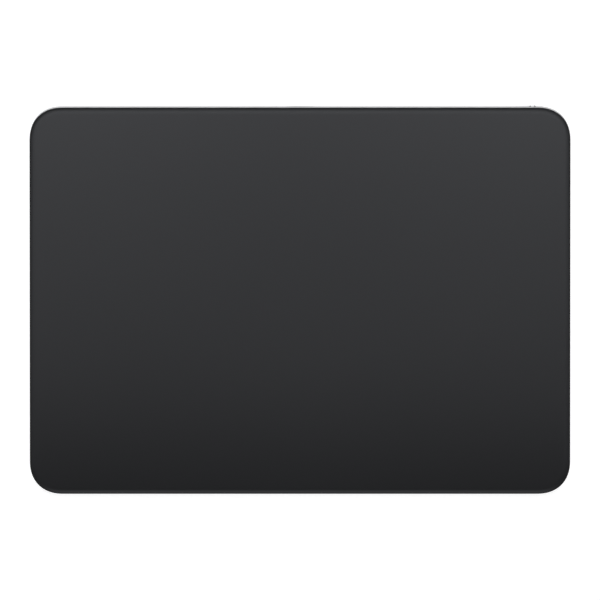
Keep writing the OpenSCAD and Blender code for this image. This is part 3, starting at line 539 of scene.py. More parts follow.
class Effects:
    """Shader node groups that the finishes share, each made once."""

    INPUTS = (("Vector", "Vector"), ("Scale", "Float"), ("Along", "Vector"))
    CELLS = 0.16  # cells of the board for each of its tracks
    TURNED = 0.5  # share of the cells whose tracks run the other way
    TRACK = 0.25  # height of the wave above which a track lies
    BARE = 0.3  # share of the cells without tracks
    made: dict[Pattern, bpy.types.NodeTree] = {}

    @classmethod
    def start(cls, pattern: Pattern, count: int = 3) -> tuple[Nodes, list[Socket]]:
        """Begin a group whose one output is a mask.

        Args:
            pattern: What the group makes.
            count: How many of the inputs it has.

        Returns:
            The group's tree under construction and the sockets of its inputs.
        """
        tree = bpy.data.node_groups.new(pattern.value, "ShaderNodeTree")
        for label, kind in cls.INPUTS[:count]:
            tree.interface.new_socket(label, in_out="INPUT", socket_type="NodeSocket" + kind)
        tree.interface.new_socket("Mask", in_out="OUTPUT", socket_type="NodeSocketFloat")
        cls.made[pattern] = tree
        sketch = Nodes(tree)
        return sketch, list(sketch.add("NodeGroupInput").outputs)[:count]

    @classmethod
    def fine_grain(cls) -> None:
        """Fine speckle, as on a blasted, etched or moulded face: two octaves of noise."""
        sketch, (vector, scale, _) = cls.start(Pattern.GRAIN)
        sketch.add("NodeGroupOutput", {0: sketch.speckle(vector, scale, detail=2.0, gain=1.8)})

    @classmethod
    def brushed_grain(cls) -> None:
        """Fine lines along one way: noise of coordinates that are shrunk along the lines."""
        sketch, (vector, scale, along) = cls.start(Pattern.BRUSHED)
        shrunk = sketch.vector("MULTIPLY", vector, along)
        sketch.add("NodeGroupOutput", {0: sketch.speckle(shrunk, scale, detail=3.0, gain=2.0)})

    @classmethod
    def even_stripes(cls) -> None:
        """Even stripes across one way: half of 1 + sin(2 pi * scale * (vector . along))."""
        sketch, (vector, scale, along) = cls.start(Pattern.STRIPES)
        wave = sketch.wave(sketch.vector("DOT_PRODUCT", vector, along), scale)
        sketch.add("NodeGroupOutput", {0: sketch.math("MULTIPLY_ADD", wave, 0.5, 0.5)})

    @classmethod
    def board_traces(cls) -> None:
        """Bundles of parallel tracks: stripes along one axis or the other, chosen cell by cell."""
        sketch, (vector, scale, _) = cls.start(Pattern.TRACES)
        cells = {"Vector": vector, "Scale": sketch.math("MULTIPLY", scale, cls.CELLS)}
        cell = sketch.add("TexVoronoi", cells, distance="CHEBYCHEV").outputs["Color"]
        draw = sketch.add("SeparateColor", {0: cell}).outputs
        axes = sketch.add("SeparateXYZ", {0: vector}).outputs
        way = sketch.math("GREATER_THAN", draw[0], cls.TURNED)
        place = sketch.add("Mix", {0: way, 2: axes[0], 3: axes[1]}, data_type="FLOAT").outputs[0]
        track = sketch.math("GREATER_THAN", sketch.wave(place, scale), cls.TRACK)
        shown = sketch.math("GREATER_THAN", draw[1], cls.BARE)
        sketch.add("NodeGroupOutput", {0: sketch.math("MULTIPLY", track, shown)})

    @classmethod
    def soft_patches(cls) -> None:
        """Wide, weak unevenness of tone: slow noise."""
        sketch, (vector, scale) = cls.start(Pattern.PATCHES, count=2)
        sketch.add("NodeGroupOutput", {0: sketch.speckle(vector, scale, detail=1.0, gain=1.6)})

    @classmethod
    def make(cls) -> None:
        """Make every group."""
        speckled = (cls.fine_grain, cls.brushed_grain, cls.soft_patches)
        for build in (*speckled, cls.even_stripes, cls.board_traces):
            build()

    @classmethod
    def place(cls, sketch: Nodes, pattern: Pattern, values: Values) -> Socket:
        """Place a group in a material with its own values, and give the socket of its mask."""
        return sketch.add("Group", values, node_tree=cls.made[pattern]).outputs[0]


@dataclass(frozen=True)
class Finish:
    """A surface finish: two tones and roughnesses between which its fine pattern and soft patches move."""

    slot: str
    low: Colour
    high: Colour
    rough: Pair = (0.45, 0.55)
    pattern: Pattern = Pattern.GRAIN
    scale: float = 6000.0  # of the pattern, per metre or per unit of the followed attribute
    along: Point = (1.0, 1.0, 1.0)
    relief: float = 0.004
    patches: float = 0.3  # share of the patches in the tone
    patch_scale: float = 45.0
    metallic: float = 0.0
    specular: float = 0.5
    coat: float = 0.0
    coat_rough: float = 0.2
    follow: str = ""  # attribute that the pattern follows

    def material(self) -> bpy.types.Material:
        """Make the finish's material.

        Returns:
            A node material that reads Object coordinates, or the followed attribute for its fine pattern.
        """
        made, sketch, where = open_material(self.slot, self.high)
        guide = where
        if self.follow:
            across = sketch.add("Attribute", attribute_name=self.follow).outputs["Fac"]
            guide = sketch.add("CombineXYZ", {0: across}).outputs[0]
        values = {"Vector": guide, "Scale": self.scale, "Along": self.along}
        grain = Effects.place(sketch, self.pattern, values)
        patch = Effects.place(sketch, Pattern.PATCHES, {"Vector": where, "Scale": self.patch_scale})
        terms = {0: patch, 1: self.patches, 2: sketch.math("MULTIPLY", grain, 1 - self.patches)}
        mask = sketch.add("Math", terms, operation="MULTIPLY_ADD", use_clamp=True).outputs[0]
        sketch.principled(
            {
                "Base Color": sketch.tone(mask, self.low, self.high),
                "Roughness": sketch.between(mask, *self.rough),
                "Normal": sketch.bump(grain, self.relief),
                "Metallic": self.metallic,
                "Specular IOR Level": self.specular,
                "Coat Weight": self.coat,
                "Coat Roughness": self.coat_rough,
            }
        )
        return made


@dataclass(frozen=True)
class EtchedGlass:
    """Black glass with a finely etched face, a little duller on its rounded rim."""

    slot: str = "matt_black_glass"
    low: Colour = (0.0066, 0.0068, 0.0074)
    high: Colour = (0.0074, 0.0076, 0.0082)
    tint: Colour = (0.925, 0.945, 1.0)
    rough: Pair = (0.345, 0.485)  # of the face and of the rim
    etch_rough: float = 0.03
    etch_scale: float = 9000.0
    patch_scale: float = 30.0
    relief: float = 0.0006
    index: float = 1.43

    def material(self) -> bpy.types.Material:
        """Make the glass's material, which reads Object coordinates and the plate's rim attribute.

        Returns:
            The material.
        """
        made, sketch, where = open_material(self.slot, self.high)
        etch = Effects.place(sketch, Pattern.GRAIN, {"Vector": where, "Scale": self.etch_scale})
        patch = Effects.place(sketch, Pattern.PATCHES, {"Vector": where, "Scale": self.patch_scale})
        rim = sketch.add("Attribute", attribute_name="rim").outputs["Fac"]
        base = sketch.between(rim, *self.rough)
        sketch.principled(
            {
                "Base Color": sketch.tone(patch, self.low, self.high),
                "Roughness": sketch.math("MULTIPLY_ADD", etch, self.etch_rough, base),
                "Normal": sketch.bump(etch, self.relief),
                "IOR": self.index,
                "Specular Tint": (*self.tint, 1.0),
            }
        )
        return made


FINISHES: tuple[Finish | EtchedGlass, ...] = (
    EtchedGlass(),
    Finish("anodised_aluminium", (0.445, 0.451, 0.463), (0.515, 0.521, 0.533), (0.36, 0.46), scale=13000.0,
           relief=0.002, patches=0.2, metallic=1.0),
    Finish("black_adhesive", (0.016, 0.016, 0.017), (0.034, 0.034, 0.035), (0.75, 0.9), scale=9000.0),
    Finish("circuit_board", (0.018, 0.105, 0.055), (0.035, 0.19, 0.095), (0.3, 0.42), Pattern.TRACES, 1400.0,
           relief=0.02, patches=0.15, coat=0.15),
    Finish("clear_film", (0.62, 0.6, 0.47), (0.74, 0.72, 0.59), (0.3, 0.4), scale=2500.0, relief=0.002),
    Finish("cover_plastic", (0.50, 0.507, 0.518), (0.565, 0.573, 0.585), (0.5, 0.62), scale=3800.0,
           relief=0.008, patches=0.25),
    Finish("ribbon_film", (0.33, 0.135, 0.03), (0.6, 0.31, 0.08), (0.25, 0.36), Pattern.STRIPES, 2.5,
           (1.0, 0.0, 0.0), relief=0.01, patches=0.2, coat=0.2, follow="track"),
    Finish("sheet_steel", (0.54, 0.55, 0.57), (0.66, 0.67, 0.69), (0.28, 0.42), Pattern.BRUSHED, 9000.0,
           (0.05, 1.0, 1.0), metallic=1.0, relief=0.003),
    Finish("port_steel", (0.42, 0.43, 0.45), (0.54, 0.55, 0.57), (0.22, 0.36), Pattern.BRUSHED, 9000.0,
           (1.0, 0.06, 1.0), metallic=1.0, relief=0.003),
    Finish("core_iron", (0.13, 0.13, 0.14), (0.24, 0.24, 0.25), (0.45, 0.6), Pattern.STRIPES, 3300.0,
           (0.0, 1.0, 0.0), metallic=0.8, relief=0.012),
    Finish("copper_wire", (0.42, 0.16, 0.06), (0.66, 0.3, 0.13), (0.22, 0.34), Pattern.BRUSHED, 9000.0,
           (1.0, 0.05, 0.05), metallic=1.0, relief=0.003, patches=0.2),
    Finish("dense_metal", (0.25, 0.25, 0.265), (0.35, 0.35, 0.37), (0.4, 0.55), scale=5000.0, metallic=1.0),
    Finish("plated_magnet", (0.55, 0.55, 0.57), (0.66, 0.66, 0.68), (0.14, 0.24), scale=3000.0,
           relief=0.002, metallic=1.0),
    Finish("spring_steel", (0.6, 0.61, 0.63), (0.71, 0.72, 0.74), (0.24, 0.36), Pattern.BRUSHED, 9000.0,
           (1.0, 0.05, 1.0), metallic=1.0, relief=0.003),
    Finish("battery_foil", (0.15, 0.15, 0.16), (0.24, 0.24, 0.25), (0.35, 0.5), scale=1400.0, relief=0.02,
           metallic=0.35),
    Finish("ivory_plastic", (0.74, 0.73, 0.68), (0.83, 0.82, 0.77), (0.42, 0.52), scale=4200.0),
    Finish("antenna_ceramic", (0.78, 0.77, 0.72), (0.88, 0.87, 0.83), (0.35, 0.5), scale=7000.0),
    Finish("black_plastic", (0.03, 0.03, 0.034), (0.05, 0.05, 0.055), (0.45, 0.6), scale=5000.0),
    Finish("gilt_contact", (0.78, 0.58, 0.24), (0.9, 0.72, 0.36), (0.2, 0.32), Pattern.BRUSHED, 12000.0,
           (1.0, 0.08, 1.0), metallic=1.0, relief=0.002),
    Finish("knob_plastic", (0.02, 0.02, 0.022), (0.034, 0.034, 0.037), (0.42, 0.54), scale=9000.0,
           specular=0.35),
    Finish("foot_rubber", (0.075, 0.075, 0.08), (0.12, 0.12, 0.126), (0.7, 0.85), scale=4500.0, relief=0.012),
    Finish("screw_steel", (0.34, 0.34, 0.36), (0.46, 0.46, 0.48), (0.26, 0.4), Pattern.BRUSHED, 9000.0,
           (1.0, 1.0, 0.1), metallic=1.0, relief=0.003),
    Finish("chip_epoxy", (0.022, 0.022, 0.023), (0.042, 0.042, 0.044), (0.5, 0.64), scale=8000.0),
)


class Workshop:
    """The frame with its finishes: hands pieces over to the frame."""

    def __init__(self, frame: dict) -> None:
        """Make every finish and keep the frame.
        """
        self.nodes: dict[str, bpy.types.Object] = frame["nodes"]
        self.slots = {row["node"]: row["material_slot"] for row in frame["record"]["subparts"]}
        self.bodies = {n: b for b, members in frame["record"]["behaviour"]["bodies"].items() for n in members}
        Effects.make()
        self.materials = {finish.slot: finish.material() for finish in FINISHES}
        self.done: set[str] = set()

    def deliver(
        self, piece: bpy.types.Object, node: str, bends: tuple[str, Point, Point] | None = None
    ) -> None:
        """Dress a piece and let it stand for a CAD node: on that node's body, or for a spring, left in place
        on no body.

        Args:
            piece: The finished piece.
            node: The node that it replaces.
            bends: For a spring, the body that its far end would follow and where it would start and end to
                bend; these are not used, only whether it is given.
        """
        slot = self.slots[node]
        piece.data.materials.append(self.materials[slot])
        if bends:
            self.bodies[node]
            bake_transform(piece)
        else:
            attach(piece, self.bodies[node])
        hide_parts(node)
        self.done.add(node)
        LOG.info("%s: %d faces, for %s on %s", piece.name, len(piece.data.polygons), node, self.bodies[node])

    def dress_rest(self) -> None:
        """Give every CAD node that is still shown its finish."""
        for name in sorted(set(self.nodes) - self.done):
            piece = self.nodes[name]
            made = self.materials[self.slots[name]]
            if not piece.material_slots:
                piece.data.materials.append(made)
            for place in piece.material_slots:
                place.material = made
            LOG.info("%s: dressed in %s", name, made.name)


# Sub-assemblies


@dataclass(frozen=True)
class Wedge:
    """Outline, heights, slope and main places that the pieces share."""

    width: float = 160.0
    depth: float = 114.9
    front_height: float = 4.9
    rear_height: float = 10.9
    corner: float = 9.0
    ease: Pair = (10.0, 2.285)  # reach and power of the outer corners
    stand: float = 0.8  # height of the lower edge above the desk
    glass: float = 0.9
    bond: float = 0.15
    sensor: float = 0.6
    deck: float = 0.8
    opening: float = 4.9  # height of the port and the switch
    switch: float = 67.65  # place of the switch across
    foot: Pair = (64.0, 43.95)
    actuator: float = -11.0  # place of the actuator's middle along

    @property
    def slope(self) -> float:
        """Slope of the touch face in radians."""
        return math.atan((self.rear_height - self.front_height) / self.depth)

    @property
    def middle(self) -> float:
        """Height of the touch face over the middle."""
        return (self.front_height + self.rear_height) / 2

    @property
    def rear(self) -> float:
        """Place of the rear face."""
        return self.depth / 2

    @property
    def under(self) -> float:
        """Depth of the deck's underside below the touch face."""
        return self.glass + self.sensor + self.deck

    def plane(self, y: np.ndarray | float, under: np.ndarray | float) -> np.ndarray | float:
        """Height at y of the plane that lies under the touch face by a depth square to it."""
        return self.middle + y * math.tan(self.slope) - under / math.cos(self.slope)

    def tilt(self, grid: np.ndarray) -> np.ndarray:
        """Bring points of the sloping frame, whose top is the touch face, into the desk's frame.

        Args:
            grid: Points, with their height above the touch face last.

        Returns:
            The points turned by the slope about the x axis and raised to the middle's height.
        """
        c, s = math.cos(self.slope), math.sin(self.slope)
        x, v, h = np.moveaxis(grid, -1, 0)
        return np.stack([x, v * c - h * s, self.middle + v * s + h * c], -1)

    def hang(self, grid: np.ndarray) -> np.ndarray:
        """Bring points of the sloping frame, whose top is the deck's underside, into the desk's frame."""
        return self.tilt(grid - at(z=self.under))


@dataclass(frozen=True)
class ScrewSet:
    """Screws that belong to one node, with their heads below, and the bosses that they go into."""

    node: str
    length: float
    across: tuple[float, ...]
    along: tuple[float, ...]
    seat: float  # height of the heads' upper faces
    boss: Pair  # diameter and lower end
    hold: Hold = Hold.DECK

    def places(self) -> list[Pair]:
        """Places of the screws: each place across with each place along."""
        return [(x, y) for x in self.across for y in self.along]


SCREWS: tuple[ScrewSet, ...] = (
    ScrewSet("flexure_screws", 1.6, (-67.2, -60.8, 60.8, 67.2), (-28.45, 28.45), 2.2, (4.4, 2.7), Hold.DESK),
    ScrewSet("port_screws", 2.2, (-6.8, 6.8), (50.15,), 5.1, (3.6, 5.5), Hold.DESK),
    ScrewSet("actuator_screws", 1.75, (-29.0, 29.0), (-16.5, -5.5), -1.4, (4.0, -1.0)),
    ScrewSet("board_screws", 1.75, (-38.512, -14.5, 14.5, 40.6), (50.198,), -1.4, (3.6, -0.6)),
    ScrewSet("switch_screws", 1.35, (65.45, 69.85), (46.0,), -1.0, (3.6, -0.6)),
)


@dataclass(frozen=True)
class Assembly:
    """A sub-assembly: the wedge that it fits and the workshop that its pieces go to."""

    wedge: Wedge
    shop: Workshop


@dataclass(frozen=True)
class TouchPlate(Assembly):
    """Glass plate that covers the whole upper face."""

    inset: float = 0.01
    front_gap: float = -0.02
    rear_gap: float = 0.18
    rim_width: float = 2.26
    rim_angle: float = 35.0
    rim_power: float = 1.95
    rim_steps: int = 24
    lower_edge: float = 0.06
    flat: Triple = (7.0, 4.0, 2.0)  # insets of rings on the flat faces
    sink: float = 0.004
    crease: float = 48.0

    def grid(self) -> Outline:
        """Rings of the plate in the sloping frame.

        The rim falls off slowly at first: at inset s its face leans by rim_angle * (1 - s / rim_width) **
        rim_power, and its height is the sum of the tangent of that lean from the face outwards.

        Returns:
            The rings, and how far each ring is out on the rim from 0 to 1.
        """
        wedge, (reach, power) = self.wedge, self.wedge.ease
        outline = rounded_rectangle(
            wedge.width - 2 * self.inset,
            wedge.depth / math.cos(wedge.slope) - self.front_gap - self.rear_gap,
            reach - self.inset,
            per_corner=40,
            per_side=40,
            power=power,
        )
        share = np.linspace(0, 1, self.rim_steps + 1)
        fall = np.tan(np.radians(self.rim_angle) * share**self.rim_power)
        drop = np.cumsum((fall[1:] + fall[:-1]) / 2 * np.diff(share)) * self.rim_width
        height = -np.concatenate([[0.0], drop])
        low, edge, (inner, outer, lower) = -wedge.glass, self.lower_edge, self.flat
        profile = [(inner, 0.0), (outer, 0.0), *zip((1 - share) * self.rim_width, height), (0.0, low + edge)]
        profile += [*round_foot(low, edge, 3)[1:], (lower, low), (inner, low)]
        out = np.clip(1 - np.array(profile)[:, 0] / self.rim_width, 0, 1)
        return carry(outline, profile) + at(0.0, (self.front_gap - self.rear_gap) / 2, -self.sink), out

    def build(self) -> None:
        """Make the plate, with its rim attribute."""
        grid, share = self.grid()
        skin = Skin().add(self.wedge.tilt(grid), mark=share[:, None])
        self.shop.deliver(skin.build("glass_touch_plate", crease=self.crease, attribute="rim"), "touch_glass")


@dataclass(frozen=True)
class Enclosure(Assembly):
    """Metal wedge under the glass: walls and deck in one, open below, with bosses that hang from the deck."""

    fillet: float = 1.8
    wall: float = 4.0
    rebate: float = 2.6
    rebate_edge: float = 0.08
    ledge: float = 1.75
    recess: float = 3.0
    top_edge: float = 0.12
    port: Pair = (8.0, 2.9)
    slot: Triple = (5.7, 2.2, 0.6)  # width, height and corner
    pocket: Triple = (9.5, 3.4, 0.05)  # width, height and corner
    pocket_wall: float = 1.3
    mouth_edge: float = 0.14
    past: Pair = (0.3, 1.0)  # how far the cuts start outside and end inside the wall
    ribbon_slot: Triple = (17.0, 1.2, 0.05)  # width, depth and corner
    ribbon_place: Pair = (-24.01, 41.5)
    ribbon_cut: Pair = (1.0, -4.0)
    boss_bore: float = 0.75  # radius
    boss_edge: float = 0.1
    boss_root: float = 0.3  # how far a boss goes into the deck
    boss_decimals: int = 2  # of a boss's place

    def shell(self) -> np.ndarray:
        """Rings of the shell, from the deck's upper face over the wall to the deck's underside.

        Each ring is the outline moved in by an inset, at a fixed height or on a plane parallel to the glass.

        Returns:
            The rings.
        """
        wedge, (reach, power) = self.wedge, self.wedge.ease
        outline = rounded_rectangle(wedge.width, wedge.depth, reach, per_corner=40, per_side=48, power=power)
        seat, floor = wedge.glass + wedge.bond, wedge.glass + wedge.sensor
        low, r, top, edge = wedge.stand, self.fillet, self.top_edge, self.rebate_edge
        sloping = [(self.recess, floor), (self.recess, seat)]
        sloping += [(inset, seat - height) for inset, height in round_top(0.0, top, 4)]
        level = round_foot(low, r, 14)
        level += [(self.rebate - edge, low), (self.rebate, low + edge), (self.rebate, self.ledge)]
        level += [(self.wall, self.ledge)]
        under = [(self.wall, wedge.under)]
        upper, middle, lower = (carry(outline, rows) for rows in (sloping, level, under))
        for grid in (upper, lower):
            grid[..., 2] = wedge.plane(grid[..., 1], grid[..., 2])
        return np.concatenate([upper, middle, lower])

    def tube(self, size: float, low: float, high: float) -> np.ndarray:
        """Rings of a boss about the upright axis: outer wall down, inner wall up, looped.

        Args:
            size: Outer diameter.
            low: Lower end.
            high: Upper end.

        Returns:
            The rings.
        """
        bore, edge = size / 2 - self.boss_bore, self.boss_edge
        rows = [(0.0, high), (0.0, low + edge), (edge, low), (bore, low), (bore, high)]
        return carry(circle(size / 2, 32), rows)

    def bosses(self) -> bpy.types.Object:
        """Bosses of all the screws, each a tube whose ends are flat.

        Returns:
            The bosses as one object.
        """
        wedge, skin = self.wedge, Skin()
        for screws in SCREWS:
            size, low = screws.boss
            for x, y in np.round(screws.places(), self.boss_decimals):
                if screws.hold is Hold.DESK:
                    high = wedge.plane(y, wedge.under - self.boss_root)
                    skin.add(self.tube(size, low, high) + at(x, y), Face.LOOPED)
                else:
                    skin.add(wedge.hang(self.tube(size, low, self.boss_root) + at(x, y)), Face.LOOPED)
        return skin.build("bosses")

    def mouth(self, size: Pair, radius: float, depth: float) -> np.ndarray:
        """Rings of a cut in the rear wall whose mouth is a little flared.

        Args:
            size: Width and height of the cut.
            radius: Corner radius of the cut.
            depth: How deep it goes.

        Returns:
            The rings, from outside inwards.
        """
        edge, rear, past = self.mouth_edge, self.wedge.rear, self.past[0]
        outline = rounded_rectangle(*size, radius, per_corner=16, per_side=6)
        rows = [(-edge - past, rear + past), (-edge, rear), (0.0, rear - edge), (0.0, rear - depth)]
        return carry(outline, rows)

    def openings(self) -> Skin:
        """Cuts for the port, for the switch with the pocket behind it, and for the touch ribbon.

        Returns:
            The closed surfaces of what is cut away.
        """
        wedge, depth = self.wedge, self.wall + self.past[1]
        port = self.mouth(self.port, self.port[1] / 2 - HAIR, depth)
        slot = self.mouth(self.slot[:2], self.slot[2], self.pocket_wall)
        wide = rounded_rectangle(*self.pocket, per_corner=16, per_side=6)
        pocket = carry(wide, [(0.0, wedge.rear - self.pocket_wall), (0.0, wedge.rear - depth)])
        switch = facing_rear(np.concatenate([slot, pocket])) + at(wedge.switch, 0.0, wedge.opening)
        gap = rounded_rectangle(*self.ribbon_slot, per_corner=2, per_side=2)
        ribbon = carry(gap, [(0.0, height) for height in self.ribbon_cut]) + at(*self.ribbon_place)
        return Skin().add(facing_rear(port) + at(z=wedge.opening)).add(switch).add(wedge.tilt(ribbon))

    def build(self) -> None:
        """Make the shell, cut its openings and join its bosses to it."""
        piece = Skin().add(self.shell()).build("enclosure_shell")
        cut(piece, self.openings())
        with bpy.context.temp_override(active_object=piece, selected_editable_objects=[piece, self.bosses()]):
            bpy.ops.object.join()
        self.shop.deliver(piece, "enclosure")


@dataclass(frozen=True)
class Underside(Assembly):
    """Cover that closes the wedge from below, and the four pads that it stands on."""

    width: float = 154.6
    depth: float = 109.5
    corner: float = 6.3
    thick: float = 0.8
    edges: Pair = (0.1, 0.16)  # of the upper and the lower face
    flat: float = 6.0  # inset of rings on the flat faces
    hole: float = 10.0
    hole_edge: float = 0.15
    past: Pair = (1.0, 0.5)  # how far the drill goes above and below
    pad: Pair = (9.0, 1.0)  # diameter and thickness
    pad_edges: Pair = (0.1, 0.3)  # of the upper and the lower face
    post: Triple = (7.5, 1.0, 2.2)  # diameter, lower and upper end
    post_edge: float = 0.12
    rivet: Pair = (1.9, 2.85)  # diameter and upper end
    rivet_root: float = 0.08
    pad_core: float = 0.6  # radius of a pad's innermost rings
    post_cores: Pair = (0.3, 0.5)  # radii of a post's innermost rings above and below

    def cover(self) -> bpy.types.Object:
        """Plate with round edges and four holes with chamfered rims.

        Returns:
            The cover.
        """
        low, high, (bevel, r) = self.wedge.stand, self.wedge.stand + self.thick, self.edges
        rows = [(self.flat, high), (bevel, high), (0.0, high - bevel)]
        rows += [*round_foot(low, r, 4), (self.flat, low)]
        outline = rounded_rectangle(self.width, self.depth, self.corner, per_corner=24, per_side=32)
        piece = Skin().add(carry(outline, rows)).build("bottom_cover_plate")
        rim, (above, below), (x, y) = self.hole_edge, self.past, self.wedge.foot
        rows = [(0.0, high + above), (0.0, low + rim), (-rim, low), (-rim - below, low - below)]
        hole, tool = carry(circle(self.hole / 2, 72), rows), Skin()
        for _, sx, sy in CORNERS:
            tool.add(hole + at(sx * x, sy * y))
        cut(piece, tool)
        return piece

    def pad_shape(self) -> np.ndarray:
        """Round pad with a soft lower edge: a profile turned about its axis.

        Returns:
            The rings, about the origin.
        """
        r, thick = self.pad[0] / 2, self.pad[1]
        bevel, edge = self.pad_edges
        rows = [(r - self.pad_core, thick), (bevel, thick), (0.0, thick - bevel)]
        rows += [*round_foot(0.0, edge, 7), (r - self.pad_core, 0.0)]
        return carry(circle(r, 72), rows)

    def post_shape(self) -> np.ndarray:
        """Post above a pad, with the headed rivet of its flexure: a profile turned about its axis.

        Returns:
            The rings, about the origin.
        """
        (size, low, high), (neck, top) = self.post, self.rivet
        r, stem, e, root = size / 2, size / 2 - neck / 2, self.post_edge, self.rivet_root
        above, below = self.post_cores
        rows = [(r - above, top), *round_top(top, e, 4, inset=stem)]
        rows += [(stem, high + root), (stem - root, high), (e, high), (0.0, high - e)]
        rows += [(0.0, low + e), (e, low), (r - below, low)]
        return carry(circle(r, 64), rows)

    def build(self) -> None:
        """Make the cover, the pads and their posts."""
        self.shop.deliver(self.cover(), "bottom_cover")
        shapes = (("rubber_pad", "foot_pad", self.pad_shape()), ("pad_post", "foot_post", self.post_shape()))
        x, y = self.wedge.foot
        for corner, sx, sy in CORNERS:
            for name, node, grid in shapes:
                piece = Skin().add(grid + at(sx * x, sy * y)).build(f"{name}_{corner}")
                self.shop.deliver(piece, f"{node}_{corner}")


@dataclass(frozen=True)
class ForceSprings(Assembly):
    """The four steel flexures that carry the feet, each with its strain gauge."""

    ends: Pair = (-18.5, 5.0)
    neck: Pair = (-11.4, -5.6)
    half: Pair = (5.5, 3.0)  # half widths of the blank and of its neck
    heights: Pair = (2.2, 2.7)
    edge: float = 0.04
    round: float = 1.0  # radius of the corners and of the neck's ends
    clear: float = 0.2  # distance of the plain stretches from those arcs
    hair: float = 0.01  # distance of the plain stretches from the neck's ends
    screw: Triple = (3.2, -15.5, 0.85)  # two places and the hole's radius
    rivet: float = 1.0  # radius of its hole
    drill_past: float = 0.5
    gauge: Triple = (2.0, 5.4, 0.08)  # half width, length and thickness
    gauge_edge: float = 0.015
    gauge_steps: int = 14

    def width_at(self, q: np.ndarray) -> np.ndarray:
        """Half width of the blank at q from the foot.

        Near an end at distance d it is wide - r + sqrt(r * r - (r - d) ** 2), and at the neck it narrows on
        arcs of the same radius.

        Args:
            q: Places along, outwards from the foot.

        Returns:
            The half widths.
        """
        (wide, narrow), r = self.half, self.round
        d = np.minimum(q - self.ends[0], self.ends[1] - q)
        corner = wide - r + np.sqrt(np.maximum(r * r - np.maximum(r - d, 0) ** 2, 0))
        inside = np.minimum(q - self.neck[0], self.neck[1] - q)
        fillet = narrow + r - np.sqrt(np.maximum(r * r - np.maximum(r - inside, 0) ** 2, 0))
        return np.where(inside >= 0, np.minimum(corner, fillet), corner)

    def stations(self) -> np.ndarray:
        """Places along the blank, close together at its ends and along its neck.

        Returns:
            The places in order.
        """
        (first, last), (low, high) = self.ends, self.neck
        turn = self.round * (1 - np.cos(np.linspace(0, np.pi / 2, 7)))
        step, hair = self.round + self.clear, self.hair
        parts = [first + turn, np.linspace(first + step, low - hair, 12), low + turn]
        parts += [np.linspace(low + step, high - step, 14), high - turn]
        parts += [np.linspace(high + hair, last - step, 14), last - turn]
        return np.unique(np.round(np.concatenate(parts), 4))

    def shapes(self) -> tuple[np.ndarray, np.ndarray, list[np.ndarray]]:
        """Rings of one spring about its foot, for the corner where x and y are positive.

        Returns:
            The blade, the gauge on its neck and the drills of the blade's holes.
        """
        low, high = self.heights
        q = self.stations()
        blade = blank(q, np.maximum(self.width_at(q), self.half[1] / 2), low, high, self.edge)
        half, length, thick = self.gauge
        along = self.neck[0] + np.linspace(0, length, self.gauge_steps + 1)
        foil = blank(along, np.full_like(along, half), high, high + thick, self.gauge_edge)
        x, y, r = self.screw
        past = self.drill_past
        holes = ((-x, y, r), (x, y, r), (0.0, 0.0, self.rivet))
        return blade, foil, [drill(size, high + past, low - past) + at(u, v) for u, v, size in holes]

    def build(self) -> None:
        """Make each flexure and its gauge."""
        blade, foil, drills = self.shapes()
        x, y = self.wedge.foot
        for corner, sx, sy in CORNERS:
            place, turn, tool = at(sx * x, sy * y), at(sx, sy, 1.0), Skin()
            for bore in drills:
                tool.add(bore * turn + place)
            spring = Skin().add(blade * turn + place).build(f"flexure_blade_{corner}")
            cut(spring, tool)
            film = Skin().add(foil * turn + place, mark=foil[..., 0])
            gauge = film.build(f"gauge_foil_{corner}", attribute="track")
            start, stop = (tuple((place + at(0.0, sy * q, self.heights[0])) * MM) for q in self.neck)
            for piece, node in ((spring, f"flexure_{corner}"), (gauge, "strain_gauges")):
                self.shop.deliver(piece, node, (f"foot_{corner}", start, stop))


